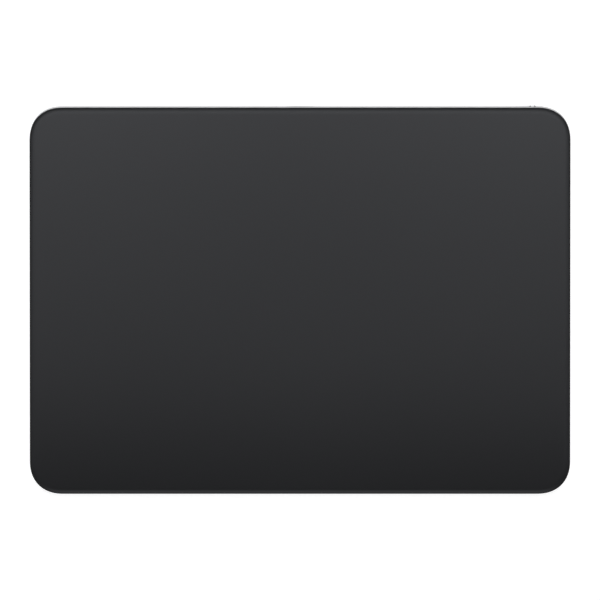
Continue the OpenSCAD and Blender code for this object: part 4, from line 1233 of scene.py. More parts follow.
@dataclass(frozen=True)
class ChargingPort(Assembly):
    """Sleeve in the middle of the rear wall, the block that closes it and its eight contacts."""

    mouth: Pair = (7.1, 2.0)
    ends: float = 0.004  # what the round ends' radius lacks of half the height
    wall: float = 0.35
    back: float = 46.85
    lip: float = 0.25  # how far the sleeve lies behind the rear face
    block: float = 2.6
    block_fit: float = 0.03
    block_edge: float = 0.12
    block_flat: float = 0.4  # inset of rings on the block's ends
    flange: float = 0.8
    contacts: int = 8
    pitch: float = 0.74
    contact: Triple = (0.4, 4.2, 0.25)
    contact_corner: float = 0.15
    contact_edge: float = 0.06
    contact_flat: float = 0.1  # inset of rings on the contacts' faces

    def stadium(self, grow: float) -> Outline:
        """Outline of the mouth with round ends, grown on all sides."""
        width, height = self.mouth[0] + 2 * grow, self.mouth[1] + 2 * grow
        return rounded_rectangle(width, height, height / 2 - self.ends, per_corner=20, per_side=8)

    def place(self, grid: np.ndarray) -> np.ndarray:
        """Turn rings drawn round the port's axis and raise them to it."""
        return facing_rear(grid) + at(z=self.wedge.opening)

    def sleeve(self) -> bpy.types.Object:
        """Drawn sleeve with a rolled lip: a stadium carried out and back along the axis, looped.

        Returns:
            The sleeve.
        """
        front, half = self.wedge.rear - self.lip, self.wall / 2
        lip = round_edge(half, front - half, half, 180, 0, 8)
        rows = [(self.wall, self.back), *lip, (0.0, self.back)]
        return Skin().add(self.place(carry(self.stadium(self.wall), rows)), Face.LOOPED).build("port_sleeve")

    def plug(self) -> bpy.types.Object:
        """Block behind the mouth, with a flange at its inner end.

        Returns:
            The block.
        """
        back, end, front = self.back, self.back - self.flange, self.back + self.block
        fit, edge, flat = self.block_fit, self.block_edge, self.block_flat
        rows = [(flat, front), (fit + edge, front), (fit, front - edge), (fit, back)]
        rows += [(-self.wall, back), (-self.wall, end), (flat, end)]
        return Skin().add(self.place(carry(self.stadium(0.0), rows))).build("port_block")

    def springs(self) -> bpy.types.Object:
        """Row of contact strips with rounded tips, on the floor of the sleeve.

        Returns:
            The contacts.
        """
        width, length, thick = self.contact
        edge, flat = self.contact_edge, self.contact_flat
        outline = rounded_rectangle(width, length, self.contact_corner, per_corner=6, per_side=4)
        strip = carry(outline, [(flat, thick), (edge, thick), (0.0, thick - edge), (0.0, 0.0), (flat, 0.0)])
        place = at(0.0, self.back + self.block + length / 2, self.wedge.opening - self.mouth[1] / 2)
        skin = Skin()
        for i in range(self.contacts):
            skin.add(strip + place + at(x=(i - (self.contacts - 1) / 2) * self.pitch))
        return skin.build("port_contact_row")

    def build(self) -> None:
        """Make the port's three visible pieces."""
        self.shop.deliver(self.sleeve(), "port_shell")
        self.shop.deliver(self.plug(), "port_contact_block")
        self.shop.deliver(self.springs(), "port_contacts")


@dataclass(frozen=True)
class PowerSwitch(Assembly):
    """Ribbed knob in its slot near the right end of the rear wall."""

    x: float = 68.9
    size: Pair = (3.0, 2.0)
    corner: float = 0.5
    back: float = 56.3
    sunk: float = 0.25  # how far its face lies behind the rear face
    edge: float = 0.16
    flat: float = 0.45  # inset of rings on its faces
    rib: Pair = (0.5, 1.6)
    rib_pitch: float = 1.36
    rib_shift: float = -0.12
    rib_height: float = 0.2  # above the rear face
    rib_edge: float = 0.06
    rib_root: float = 0.2  # how far a rib goes into the knob
    rib_core: float = 0.02  # half width of a rib's innermost rings

    def build(self) -> None:
        """Make the knob: a rounded block with two domed ribs."""
        front, top, e = self.wedge.rear - self.sunk, self.wedge.rear + self.rib_height, self.edge
        outline = rounded_rectangle(*self.size, self.corner, per_corner=10, per_side=4)
        rows = [(self.flat, front), *round_top(front, e, 5)]
        rows += [(0.0, self.back), (self.flat, self.back)]
        place = at(self.x, 0.0, self.wedge.opening)
        skin = Skin().add(facing_rear(carry(outline, rows)) + place)
        r, e, root = self.rib[0] / 2, self.rib_edge, front - self.rib_root
        ridge = rounded_rectangle(*self.rib, r - HAIR, per_corner=10, per_side=6)
        dome = [(r - self.rib_core, top), *round_top(top, e, 5)]
        dome += [(0.0, root), (r - self.rib_core, root)]
        for _, side in SIDES:
            shift = at(x=side * self.rib_pitch / 2 + self.rib_shift)
            skin.add(facing_rear(carry(ridge, dome)) + place + shift)
        self.shop.deliver(skin.build("power_knob"), "switch_knob")


@dataclass(frozen=True)
class Fasteners(Assembly):
    """The twenty small screws, each with a lobed drive, a rounded head and a rolled thread."""

    head: float = 2.6
    head_thick: float = 0.4
    head_edge: float = 0.16
    drive: Triple = (0.5, 0.07, 0.22)  # mean radius, height of the lobes and depth
    drive_core: float = 0.6  # size of the innermost ring as a share of the drive
    drive_edge: Triple = (0.02, 0.06, 0.03)  # growth below the mouth and at it, and height
    lobes: int = 6
    shank: float = 1.4
    pitch: float = 0.3
    thread: float = 0.1
    lead: Pair = (0.04, 0.2)  # plain lengths under the head and at the tip
    tip: float = 0.45  # radius
    steps: int = 36
    steps_per_pitch: int = 6

    def screw(self, length: float) -> np.ndarray:
        """Rings of a screw that stands on its head.

        The drive's wall is at drive[0] + drive[1] * cos(lobes * a) from the axis. The thread's radius falls
        below the shank's by thread * |2 f - 1|, where f is the fraction of z / pitch - a / (2 pi).

        Args:
            length: Length of the shank.

        Returns:
            The rings, from the floor of the drive over the head to the tip.
        """
        angle = np.linspace(0, 2 * np.pi, self.steps, endpoint=False)
        ring = np.ones_like(angle)
        mean, swing, deep = self.drive
        lobe = mean + swing * np.cos(self.lobes * angle)
        low, r, e, shank = -self.head_thick, self.head / 2, self.head_edge, self.shank / 2
        turn = np.radians(np.linspace(-90, 0, 5))[:, None]
        grow, mouth, edge = self.drive_edge
        z = np.arange(self.lead[0], length - self.lead[1], self.pitch / self.steps_per_pitch)[:, None]
        wave = np.abs(2 * ((z / self.pitch - angle / (2 * np.pi)) % 1) - 1)
        rows = [
            (self.drive_core * lobe, low + deep),
            (lobe, low + deep),
            (lobe + grow, low + edge),
            (lobe + mouth, low),
            ((r - e + e * np.cos(turn)) * ring, low + e + e * np.sin(turn)),
            (r * ring, 0.0),
            (shank * ring, 0.0),
            (shank - self.thread * wave, z),
            (self.tip * ring, length),
        ]
        radius = np.vstack([np.atleast_2d(part) for part, _ in rows])
        height = np.vstack([np.broadcast_to(level, np.atleast_2d(part).shape) for part, level in rows])
        return np.stack([radius * np.cos(angle), radius * np.sin(angle), height], -1)

    def build(self) -> None:
        """Make the five sets of screws."""
        for screws in SCREWS:
            shape, skin = self.screw(screws.length), Skin()
            for x, y in screws.places():
                grid = shape + at(x, y, screws.seat)
                skin.add(self.wedge.hang(grid) if screws.hold is Hold.DECK else grid)
            self.shop.deliver(skin.build(f"set_of_{screws.node}"), screws.node)


@dataclass(frozen=True)
class Battery(Assembly):
    """Foil pouch with a folded seam, softly crowned below, and the thin terrace at its rear end."""

    size: Triple = (100.0, 35.0, 3.7)
    start: float = 4.498
    bond: float = 0.15
    corner: float = 2.0
    edge: float = 0.95
    seam: float = 0.14  # how far the seam stands out
    ridge: Triple = (0.3, 0.12, 0.02)  # half heights of the seam's foot and tip, and the tip's rounding
    crown: float = 0.22
    crown_steps: int = 11
    least: float = 0.05  # scale of the innermost ring
    terrace: Triple = (88.0, 1.9, 0.8)
    terrace_lap: float = 1.0  # how far the terrace goes into the pouch
    terrace_corner: float = 0.3
    terrace_edges: Pair = (0.1, 0.2)  # of the upper and the lower face

    def pouch(self) -> np.ndarray:
        """Rings of the pouch: rounded side with a seam ridge, then a face shrunk towards its middle.

        The lower face at scale s lies at crown * (1 - s * s) beyond its edge.

        Returns:
            The rings, from the upper face down.
        """
        width, length, thick = self.size
        outline = rounded_rectangle(width, length, self.corner, per_corner=12, per_side=20)
        top, low, middle = -self.bond, -self.bond - thick, -self.bond - thick / 2
        e, s, (foot, tip, blunt) = self.edge, self.seam, self.ridge
        side = [*round_top(top, e, 7, inset=s), (s, middle + foot), (blunt, middle + tip)]
        side += [(0.0, middle), (blunt, middle - tip), (s, middle - foot)]
        side += round_foot(low + self.crown, e, 7, inset=s)
        rings = carry(outline, side)
        scale = np.linspace(1, self.least, self.crown_steps + 1)[1:, None, None]
        face = rings[-1] * np.concatenate([scale, scale, np.zeros_like(scale)], -1)
        face[..., 2] = low + self.crown * scale[..., 0] ** 2
        return np.concatenate([rings, face])

    def shelf(self) -> np.ndarray:
        """Rings of the terrace: a bevelled plate carried down from the deck's side.

        Returns:
            The rings.
        """
        width, deep, thick = self.terrace
        top, (upper, lower) = -self.bond, self.terrace_edges
        length = deep + self.terrace_lap
        outline = rounded_rectangle(width, length, self.terrace_corner, per_corner=5, per_side=8)
        rows = [(upper, top), (0.0, top - upper), (0.0, top - thick + lower), (lower, top - thick)]
        return carry(outline, rows)

    def build(self) -> None:
        """Make the pouch and its terrace."""
        length = self.size[1]
        place = at(y=self.start + length / 2)
        behind = at(y=self.start + length + (self.terrace[1] - self.terrace_lap) / 2)
        hang = self.wedge.hang
        skin = Skin().add(hang(self.pouch() + place)).add(hang(self.shelf() + behind))
        self.shop.deliver(skin.build("battery_pouch"), "battery")


@dataclass(frozen=True)
class HapticActuator(Assembly):
    """Stamped tray under the deck, and in it a core with two windings and a sprung mass with magnets."""

    size: Pair = (52.0, 19.0)
    depths: Pair = (0.2, 2.45)
    sheet: float = 0.4
    corner: float = 1.0
    bend: float = 0.5
    inner_bend: tuple[Pair, ...] = ((0.4, 0.0), (0.15, 0.04), (0.0, 0.2))  # off the inner wall and floor
    rim_edge: float = 0.05
    flat: float = 0.3  # distance of the lowest ring from the bend
    ear: Triple = (5.8, 4.0, 0.4)
    ear_place: Triple = (28.7, 5.5, 1.0)
    ear_hole: Pair = (29.0, 0.85)  # place and radius
    ear_corner: float = 0.8
    ear_edge: float = 0.06
    coil: Pair = (5.4, 1.6)
    coil_corner: Pair = (0.55, 0.5)  # of the wire's path and of the inner layers
    coil_bore: Triple = (3.3, 1.1, 0.1)  # width, height and corner
    coil_run: Pair = (1.5, 6.6)
    coil_depth: float = 1.15
    coil_crease: float = 60.0
    wire: float = 0.204
    bar: Pair = (16.8, 3.2)
    bar_depths: Pair = (0.65, 1.65)
    bar_foot: Pair = (2.4, 0.66)  # width and depth of the foot's upper end
    pole: Triple = (7.7, 1.4, 6.4)  # place, width and length
    pole_lift: float = 0.2  # above the tray's floor
    core_edge: float = 0.08
    mass: Triple = (42.0, 16.4, 0.5)  # width, length and corner
    window: Triple = (23.0, 8.8, 0.3)  # width, length and corner
    mass_depths: Pair = (0.45, 1.8)
    mass_edge: float = 0.15
    shy: float = 0.1  # how far nubs, magnets and springs keep from the mass's two faces
    nub: float = 1.5  # half length
    nub_lap: float = 0.4  # how far a nub goes into the mass
    nub_edge: float = 0.05
    magnet: Triple = (2.1, 6.4, 0.1)  # width, length and bevel
    leaf: Triple = (23.0, 9.1, 0.2)  # place of its inner face, of its end, and thickness
    leaf_foot: float = 1.5
    leaf_bend: float = 0.4
    leaf_clamp: float = 0.6  # length at its end that doesn't bend
    leaf_steps: int = 14

    def tray(self) -> np.ndarray:
        """Rings of the tray, from its inner floor over its rim to its rounded underside.

        Returns:
            The rings.
        """
        high, low = -self.depths[0], -self.depths[1]
        t, b, edge = self.sheet, self.bend, self.rim_edge
        outline = rounded_rectangle(*self.size, self.corner, per_corner=10, per_side=12)
        rows = [(t + inset, low + t + rise) for inset, rise in self.inner_bend]
        rows += [(t, high - edge), (t - edge, high), (edge, high), (0.0, high - edge)]
        rows += [*round_foot(low, b, 6), (b + self.flat, low)]
        return carry(outline, rows)

    def lug(self) -> np.ndarray:
        """Rings of the right rear ear: its round-cornered outline out and the screw hole back, looped.

        Returns:
            The rings.
        """
        (length, width, thick), (x, y, depth), (hole_x, radius) = self.ear, self.ear_place, self.ear_hole
        e = self.ear_edge
        outline = rounded_rectangle(length, width, self.ear_corner, per_corner=8, per_side=8)
        edge = carry(outline, [(e, 0.0), (0.0, -e), (0.0, e - thick), (e, -thick)])
        hole = carry(circle(radius, edge.shape[1]), [(0.0, -thick), (0.0, 0.0)]) + at(hole_x - x)
        return np.concatenate([edge, hole]) + at(x, y, -depth)

    def winding(self) -> tuple[np.ndarray, np.ndarray]:
        """Wire wound about the x axis, and the sleeve of inner layers under it.

        The wire's path goes round a rounded rectangle and moves on by its own thickness in each turn. Its
        section is the circle path + r * (cos b * normal + sin b * x).

        Returns:
            Rings of the wire and rings of the sleeve, which is looped through its bore.
        """
        (first, last), r, steps = self.coil_run, self.wire / 2, {"per_corner": 6, "per_side": 6}
        size = self.coil[0] - self.wire, self.coil[1] - self.wire
        ring, normal = rounded_rectangle(*size, self.coil_corner[0], **steps)
        count = (int((last - first) / self.wire) - 1) * len(ring) + 1
        plan, out = (np.resize(part, (count, 2)) for part in (ring, normal))
        along = np.linspace(first + r, last - r, count)
        turn = np.linspace(0, 2 * np.pi, 8, endpoint=False)
        flat = plan[:, None] + r * np.cos(turn)[None, :, None] * out[:, None]
        wire = np.concatenate([(along[:, None] + r * np.sin(turn))[..., None], flat], -1)
        outer = carry(rounded_rectangle(*size, self.coil_corner[1], **steps), [(0.0, first), (0.0, last)])
        inner = carry(rounded_rectangle(*self.coil_bore, **steps), [(0.0, last), (0.0, first)])
        down = at(z=-self.coil_depth)
        return wire + down, np.concatenate([outer, inner])[..., [2, 0, 1]] + down

    def core(self) -> list[np.ndarray]:
        """Rings of the core's bar, its foot on the tray's floor and its two poles.

        Returns:
            The rings of each block.
        """
        floor, (width, length) = self.sheet - self.depths[1], self.bar
        (foot, foot_top), (x, pole_width, pole_length) = self.bar_foot, self.pole
        blocks = [((0.0, 0.0, width, length), -self.bar_depths[0], -self.bar_depths[1])]
        blocks += [((0.0, 0.0, foot, length), -foot_top, floor)]
        for _, sx in SIDES:
            box = (sx * x, 0.0, pole_width, pole_length)
            blocks += [(box, -self.mass_depths[0], floor + self.pole_lift)]
        return [bevelled(box, high, low, self.core_edge) for box, high, low in blocks]

    def frame(self) -> np.ndarray:
        """Rings of the mass: a bevelled outline down and its window back up, looped.

        Returns:
            The rings.
        """
        high, low, e = -self.mass_depths[0], -self.mass_depths[1], self.mass_edge
        rows = [(e, high), (0.0, high - e), (0.0, low + e), (e, low)]
        around = [(-inset, height) for inset, height in reversed(rows)]
        outer = carry(rounded_rectangle(*self.mass, per_corner=8, per_side=10), rows)
        inner = carry(rounded_rectangle(*self.window, per_corner=8, per_side=10), around)
        return np.concatenate([outer, inner])

    def nubs(self) -> tuple[list[np.ndarray], list[np.ndarray]]:
        """Rings of the nubs at the mass's two ends, and of the magnets in its window.

        Returns:
            The nubs and the magnets.
        """
        high, low = -self.mass_depths[0] - self.shy, -self.mass_depths[1] + self.shy
        reach = self.leaf[0] - self.mass[0] / 2 + self.nub_lap
        width, length, edge = self.magnet
        nubs, magnets = [], []
        for _, sx in SIDES:
            nub = (sx * (self.leaf[0] - reach / 2), 0.0, reach, 2 * self.nub)
            nubs.append(bevelled(nub, high, low, self.nub_edge))
            magnet = (sx * (self.window[0] - width) / 2, 0.0, width, length)
            magnets.append(bevelled(magnet, high, low, edge))
        return nubs, magnets

    def leaves(self, place: np.ndarray) -> None:
        """Make each leaf spring in two halves, which run from their clamped feet to the mass's nub.

        Args:
            place: Place of the actuator's middle.
        """
        x, y, thick = self.leaf
        high, low = self.mass_depths[0] + self.shy, self.mass_depths[1] - self.shy
        path = [(x + self.leaf_foot, y - thick / 2), (x + thick / 2, y - thick / 2), (x + thick / 2, 0.0)]
        folded = Strip(low - high, thick, self.leaf_bend).folded(path)[0][..., [1, 2, 0]]
        bent, first, last = folded[:-1], folded[-2], folded[-1]
        share = np.linspace(0, 1, self.leaf_steps + 1)[1:, None, None]
        strip = np.concatenate([bent, first + share * (last - first)]) - at(z=(low + high) / 2)
        for side, sx in SIDES:
            for end, sy in ENDS:
                half = self.wedge.hang(strip * at(sx, sy, 1.0) + place)
                ends = np.array([[x, y - self.leaf_clamp, -high], [x, self.nub, -high]]) * at(sx, sy, 1.0)
                start, stop = (tuple(point) for point in self.wedge.hang(ends + place) * MM)
                piece = Skin().add(half).build(f"leaf_spring_{side}_{end}")
                self.shop.deliver(piece, f"actuator_spring_{side}", ("haptic_mass", start, stop))

    def build(self) -> None:
        """Make the actuator's pieces."""
        place, hang = at(y=self.wedge.actuator), self.wedge.hang
        tray, coils, core, mass, magnets = (Skin() for _ in range(5))
        tray.add(hang(self.tray() + place))
        lug, (wire, sleeve) = self.lug(), self.winding()
        for _, sx in SIDES:
            for _, sy in ENDS:
                tray.add(hang(lug * at(sx, sy, 1.0) + place), Face.LOOPED)
            coils.add(hang(wire * at(sx, 1.0, 1.0) + place))
            coils.add(hang(sleeve * at(sx, 1.0, 1.0) + place), Face.LOOPED)
        mass.add(hang(self.frame() + place), Face.LOOPED)
        for skin, grids in zip((core, mass, magnets), (self.core(), *self.nubs())):
            for grid in grids:
                skin.add(hang(grid + place))
        self.shop.deliver(tray.build("actuator_pan"), "actuator_tray")
        self.shop.deliver(coils.build("actuator_windings", crease=self.coil_crease), "actuator_coils")
        self.shop.deliver(core.build("actuator_laminations"), "actuator_core")
        self.shop.deliver(mass.build("sprung_mass"), "actuator_mass")
        self.shop.deliver(magnets.build("magnet_pair"), "actuator_magnets")
        self.leaves(place)


@dataclass(frozen=True)
class BoardPlan:
    """Places on the logic board that its parts and the ribbons share."""

    below: float = 1.4  # depth of its lower face under the deck
    plugs: Pair = (43.798, 46.798)  # front and rear end of the row of connectors
    touch: float = -24.012  # places of the connectors across
    battery: float = 20.01
    actuator: float = 52.8
    force: float = 56.25  # on both sides


BOARD = BoardPlan()


@dataclass(frozen=True)
class BoardParts(Assembly):
    """Packages, shield can, antenna and connectors on the logic board, in depths under the deck."""

    chips: tuple[tuple[str, float, Pair], ...] = (  # node, place across and size
        ("processor_chip", -20.01, (6.4, 6.4)),
        ("touch_controller_chip", -29.986, (8.0, 6.8)),
        ("power_chip", 29.986, (5.0, 5.0)),
        ("haptic_driver_chip", 46.4, (4.0, 4.0)),
    )
    chip_middle: float = 47.448
    chip_thick: float = 0.9
    chip_corner: float = 0.45
    carrier: float = 0.3
    carrier_edge: float = 0.03
    cap: Triple = (0.24, 0.3, 0.36)  # insets at the carrier, above the cap's edge and on its face
    cap_edge: float = 0.06
    shield: Box = (-53.4, 43.398, 11.02, 8.0)  # left and front end, width and length
    shield_deep: float = 1.4
    shield_sheet: float = 0.2
    shield_corner: float = 1.2
    shield_bend: float = 0.35
    inner_bend: Pair = (0.3, 0.25)
    panel: Triple = (0.75, 0.85, 1.1)  # insets at its edge, at its face and on it
    panel_press: float = 0.06
    antenna: Box = (-56.5, 47.348, 2.0, 6.5)
    antenna_deep: float = 1.0
    plug: Pair = (6.0, 0.8)  # width and thickness
    block_edge: float = 0.12
    sockets: tuple[Pair, ...] = (  # place across and width
        (-BOARD.force, 2.4),
        (BOARD.force, 2.4),
        (BOARD.actuator, 2.0),
        (BOARD.touch, 16.0),
    )
    socket_depths: Pair = (FILM, 0.6)
    socket_edge: float = 0.07

    def block(self, box: Box, depths: Pair, edge: float) -> np.ndarray:
        """Bevelled block under the deck, between two depths."""
        return self.wedge.hang(bevelled(box, -depths[0], -depths[1], edge))

    def chip(self, u: float, size: Pair) -> np.ndarray:
        """Rings of a package: a carrier against the board and a set-back moulded cap with drafted sides.

        Args:
            u: Place across.
            size: Width and length of the carrier.

        Returns:
            The rings.
        """
        high, low, e = -BOARD.below, -BOARD.below - self.chip_thick, self.carrier_edge
        step, (foot, side, face) = high - self.carrier, self.cap
        outline = rounded_rectangle(*size, self.chip_corner, per_corner=5, per_side=4)
        rows = [(e, high), (0.0, high - e), (0.0, step + e), (e, step)]
        rows += [(foot, step), (side, low + self.cap_edge), (face, low)]
        return self.wedge.hang(carry(outline, rows) + at(u, self.chip_middle))

    def can(self) -> np.ndarray:
        """Rings of the shield can, from its inner face over its open rim to its pressed outer face.

        Returns:
            The rings.
        """
        u, v, width, length = self.shield
        high, low, t, r = -BOARD.below, -BOARD.below - self.shield_deep, self.shield_sheet, self.shield_bend
        outline = rounded_rectangle(width, length, self.shield_corner, per_corner=8, per_side=8)
        rows = [(t + self.inner_bend[0], low + t), (t, low + t + self.inner_bend[1]), (t, high), (0.0, high)]
        rows += round_foot(low, r, 5)
        pressed = (low, low + self.panel_press, low + self.panel_press)
        rows += list(zip(self.panel, pressed))
        return self.wedge.hang(carry(outline, rows) + at(u + width / 2, v + length / 2))

    def build(self) -> None:
        """Make the board's parts."""
        below, (front, rear) = BOARD.below, BOARD.plugs
        for node, u, size in self.chips:
            self.shop.deliver(Skin().add(self.chip(u, size)).build(f"{node}_package"), node)
        self.shop.deliver(Skin().add(self.can()).build("radio_shield_can"), "radio_shield")
        ceramic = self.block(self.antenna, (below, below + self.antenna_deep), self.block_edge)
        self.shop.deliver(Skin().add(ceramic).build("antenna_block"), "antenna")
        v, deep, (width, thick) = (front + rear) / 2, rear - front, self.plug
        plug = self.block((BOARD.battery, v, width, deep), (below, below + thick), self.block_edge)
        self.shop.deliver(Skin().add(plug).build("battery_plug"), "battery_connector")
        sockets = Skin()
        for u, width in self.sockets:
            sockets.add(self.block((u, v, width, deep), self.socket_depths, self.socket_edge))
        self.shop.deliver(sockets.build("ribbon_sockets"), "board_connectors")


@dataclass(frozen=True)
class BentPieces(Assembly):
    """Pieces that are bent from strip: the ribbons, with their tracks along them, and the two brackets."""

    touch: Strip = Strip(15.0, FILM, 0.25)
    touch_rise: Pair = (41.498, 0.9)  # place along and height in the deck
    lead: Strip = Strip(5.0, FILM, 1.0)
    lead_path: tuple[Pair, ...] = ((39.798, -2.26), (41.5, -2.26), (42.6, -2.42), (43.7, -2.26))
    port: Strip = Strip(5.0, FILM, 0.35)
    port_path: Triple = (45.99, 43.53, 4.0)  # places at the port and on the board, lower end
    run: Strip = Strip(1.5, FILM, 1.2)
    branch: Strip = Strip(1.5, BRANCH, 1.2)
    branch_lap: float = 0.73  # how far from the run's middle a branch ends
    tail: Strip = Strip(3.0, FILM, 0.3)
    tail_place: Triple = (31.95, 1.6, 2.78)  # place along, lap on the gauge and the gauge's height
    actuator: Strip = Strip(1.6, FILM, 1.2)
    actuator_start: float = 2.0
    solder_pad: Box = (4.05, 0.0, 4.1, 2.0)  # from the actuator's middle
    pad_depths: Pair = (0.1, 0.35)
    pad_edge: float = 0.05
    switch: Strip = Strip(1.3, FILM, 0.3)
    switch_path: Triple = (54.0, 70.65, 5.15)  # two ends and height
    switch_back: float = 49.6
    drop: Strip = Strip(3.5, BRANCH, 0.3)
    drop_place: Triple = (55.75, 47.132, 4.9)  # place across, far end along and height
    strap: Strip = Strip(3.4, 0.4, 0.45)
    strap_path: Box = (9.0, 4.2, 5.3, 3.25)  # end, bend, upper and lower height
    strap_hole: Pair = (6.8, 50.15)
    strap_drill: Pair = (6.5, 4.5)
    bracket: Strip = Strip(8.0, 0.4, 0.5)
    bracket_path: Box = (44.0, 49.28, 0.8, 3.3)  # front end, bend, depth under the deck and lower end
    bracket_hole: Pair = (2.2, 46.0)
    bracket_drill: Pair = (-0.2, -1.6)
    hole: float = 0.85  # radius

    def board_face(self, y: float) -> float:
        """Height at y of the middle of a film on the logic board's lower face."""
        return self.wedge.plane(y, self.wedge.under + BOARD.below) - FILM / 2

    def short_ribbons(self) -> None:
        """Make the ribbons of the touch sensor, the battery and the charging port."""
        half, rear, hang = FILM / 2, BOARD.plugs[1], self.wedge.hang
        place, top = self.touch_rise
        touch, touch_mark = self.touch.folded([(place, top), (place, -half), (rear, -half)])
        lead, lead_mark = self.lead.folded([*self.lead_path, (rear, self.lead_path[-1][1])])
        back, far, low = self.port_path
        path = [(back, low), (back, self.board_face(back)), (far, self.board_face(far))]
        port, port_mark = self.port.folded(path)
        for name, node, grid, mark in (
            ("touch_film", "touch_ribbon", hang(touch + at(BOARD.touch)), touch_mark),
            ("battery_lead", "battery_cable", hang(lead + at(BOARD.battery)), lead_mark),
            ("port_film", "port_ribbon", port, port_mark),
        ):
            self.shop.deliver(Skin().add(grid, mark=mark).build(name, attribute="track"), node)

    def force_ribbon(self, sx: int) -> Skin:
        """Ribbon of one side: a run along the deck, and from each gauge a tail that rises to it.

        Args:
            sx: Side, -1 or 1.

        Returns:
            The ribbon's skin.
        """
        half, flip, skin, wedge = FILM / 2, at(sx, 1.0, 1.0), Skin(), self.wedge
        x, run, (rise, lap, gauge) = wedge.foot[0], BOARD.force, self.tail_place
        end = x + self.tail.width / 2
        for strip, path in (
            (self.run, [(end, -rise), (run, -rise), (run, BOARD.plugs[1])]),
            (self.branch, [(end, rise), (run + self.branch_lap, rise)]),
        ):
            grid, mark = strip.flat(path)
            skin.add(wedge.hang(grid - at(z=half)) * flip, mark=mark)
        for _, sy in ENDS:
            y, low = sy * (rise + half), gauge + half
            path = [(sy * (rise + lap), low), (y, low), (y, wedge.plane(y, wedge.under) - half)]
            grid, mark = self.tail.folded(path)
            skin.add((grid + at(x)) * flip, mark=mark)
        return skin

    def long_ribbons(self) -> None:
        """Make the ribbons of the strain gauges, the actuator and the switch."""
        half, hang, middle = FILM / 2, self.wedge.hang, self.wedge.actuator
        for side, sx in SIDES:
            film = self.force_ribbon(sx).build(f"force_film_{side}", attribute="track")
            self.shop.deliver(film, f"force_ribbon_{side}")
        run = BOARD.actuator
        grid, mark = self.actuator.flat([(self.actuator_start, middle), (run, middle), (run, BOARD.plugs[1])])
        pad = bevelled(self.solder_pad, -self.pad_depths[0], -self.pad_depths[1], self.pad_edge)
        skin = Skin().add(hang(grid - at(z=half)), mark=mark).add(hang(pad + at(y=middle)))
        self.shop.deliver(skin.build("actuator_film", attribute="track"), "actuator_ribbon")
        first, last, height = self.switch_path
        y = self.switch_back - half
        grid, mark = self.switch.flat([(first, height), (last, height)])
        skin = Skin().add(grid[..., [0, 2, 1]] + at(y=y), mark=mark)
        x, far, low = self.drop_place
        grid, mark = self.drop.folded([(y, low), (y, self.board_face(y)), (far, self.board_face(far))])
        skin.add(grid + at(x), mark=mark)
        self.shop.deliver(skin.build("switch_film", attribute="track"), "switch_ribbon")

    def straps(self) -> None:
        """Make the strap round the charging port and the bracket behind the switch, with screw holes."""
        wedge = self.wedge
        end, bend, high, low = self.strap_path
        path = [(-end, high), (-bend, high), (-bend, low), (bend, low), (bend, high), (end, high)]
        across, along = self.strap_hole
        strap = Skin().add(self.strap.folded(path)[0][..., [1, 0, 2]] + at(y=along)).build("port_strap")
        tool = Skin()
        for _, sx in SIDES:
            tool.add(drill(self.hole, *self.strap_drill) + at(sx * across, along))
        cut(strap, tool)
        self.shop.deliver(strap, "port_bracket")
        front, bend, deep, low = self.bracket_path
        _, y, z = wedge.hang(at(0.0, front, -deep))
        grid = self.bracket.folded([(y, z), (bend, wedge.plane(bend, wedge.under + deep)), (bend, low)])[0]
        bracket = Skin().add(grid + at(wedge.switch)).build("switch_strap")
        across, along = self.bracket_hole
        tool = Skin()
        for _, sx in SIDES:
            place = at(wedge.switch + sx * across, along)
            tool.add(wedge.hang(drill(self.hole, *self.bracket_drill) + place))
        cut(bracket, tool)
        self.shop.deliver(bracket, "switch_bracket")

    def build(self) -> None:
        """Make the ribbons and the straps."""
        self.short_ribbons()
        self.long_ribbons()
        self.straps()


# Stage


@dataclass(frozen=True)
class Lamp:
    """Soft box: a lit rectangle that faces a point; lengths are in metres."""

    name: str
    place: Point
    size: Pair
    watts: float
    aim: Point = (0.0, 0.0, 0.0)
    upright: float = 0.95  # share of the lamp's direction along Y above which its side is taken from Z

    def build(self) -> None:
        """Make the lamp."""
        light = bpy.data.lights.new(self.name, "AREA")
        light.shape, light.size, light.size_y = "RECTANGLE", *self.size
        light.energy = self.watts
        lamp = bpy.data.objects.new(self.name, light)
        place = np.array(self.place)
        back = place - np.array(self.aim)
        back /= np.linalg.norm(back)
        side = np.cross(at(y=1.0) if abs(back[1]) < self.upright else at(z=1.0), back)
        side /= np.linalg.norm(side)
        matrix = np.eye(4)
        matrix[:3] = np.stack([side, np.cross(back, side), back, place], -1)
        lamp.matrix_world = matrix.T.tolist()
        lamp.visible_camera = False
        bpy.context.scene.collection.objects.link(lamp)


LAMPS: tuple[Lamp, ...] = (
    Lamp("softbox_left", (-0.13, 0.005, 0.203), (0.244, 0.213), 0.1384, (-0.033, 0.283, 0.0)),
    Lamp("softbox_right", (0.13, 0.005, 0.203), (0.244, 0.213), 0.1395, (0.033, 0.283, 0.0)),
    Lamp("softbox_over", (0.0, 0.098, 0.272), (0.398, 0.155), 0.4735),
    Lamp("softbox_front", (0.0, -1.033, 0.928), (0.514, 0.223), 2.944),
)


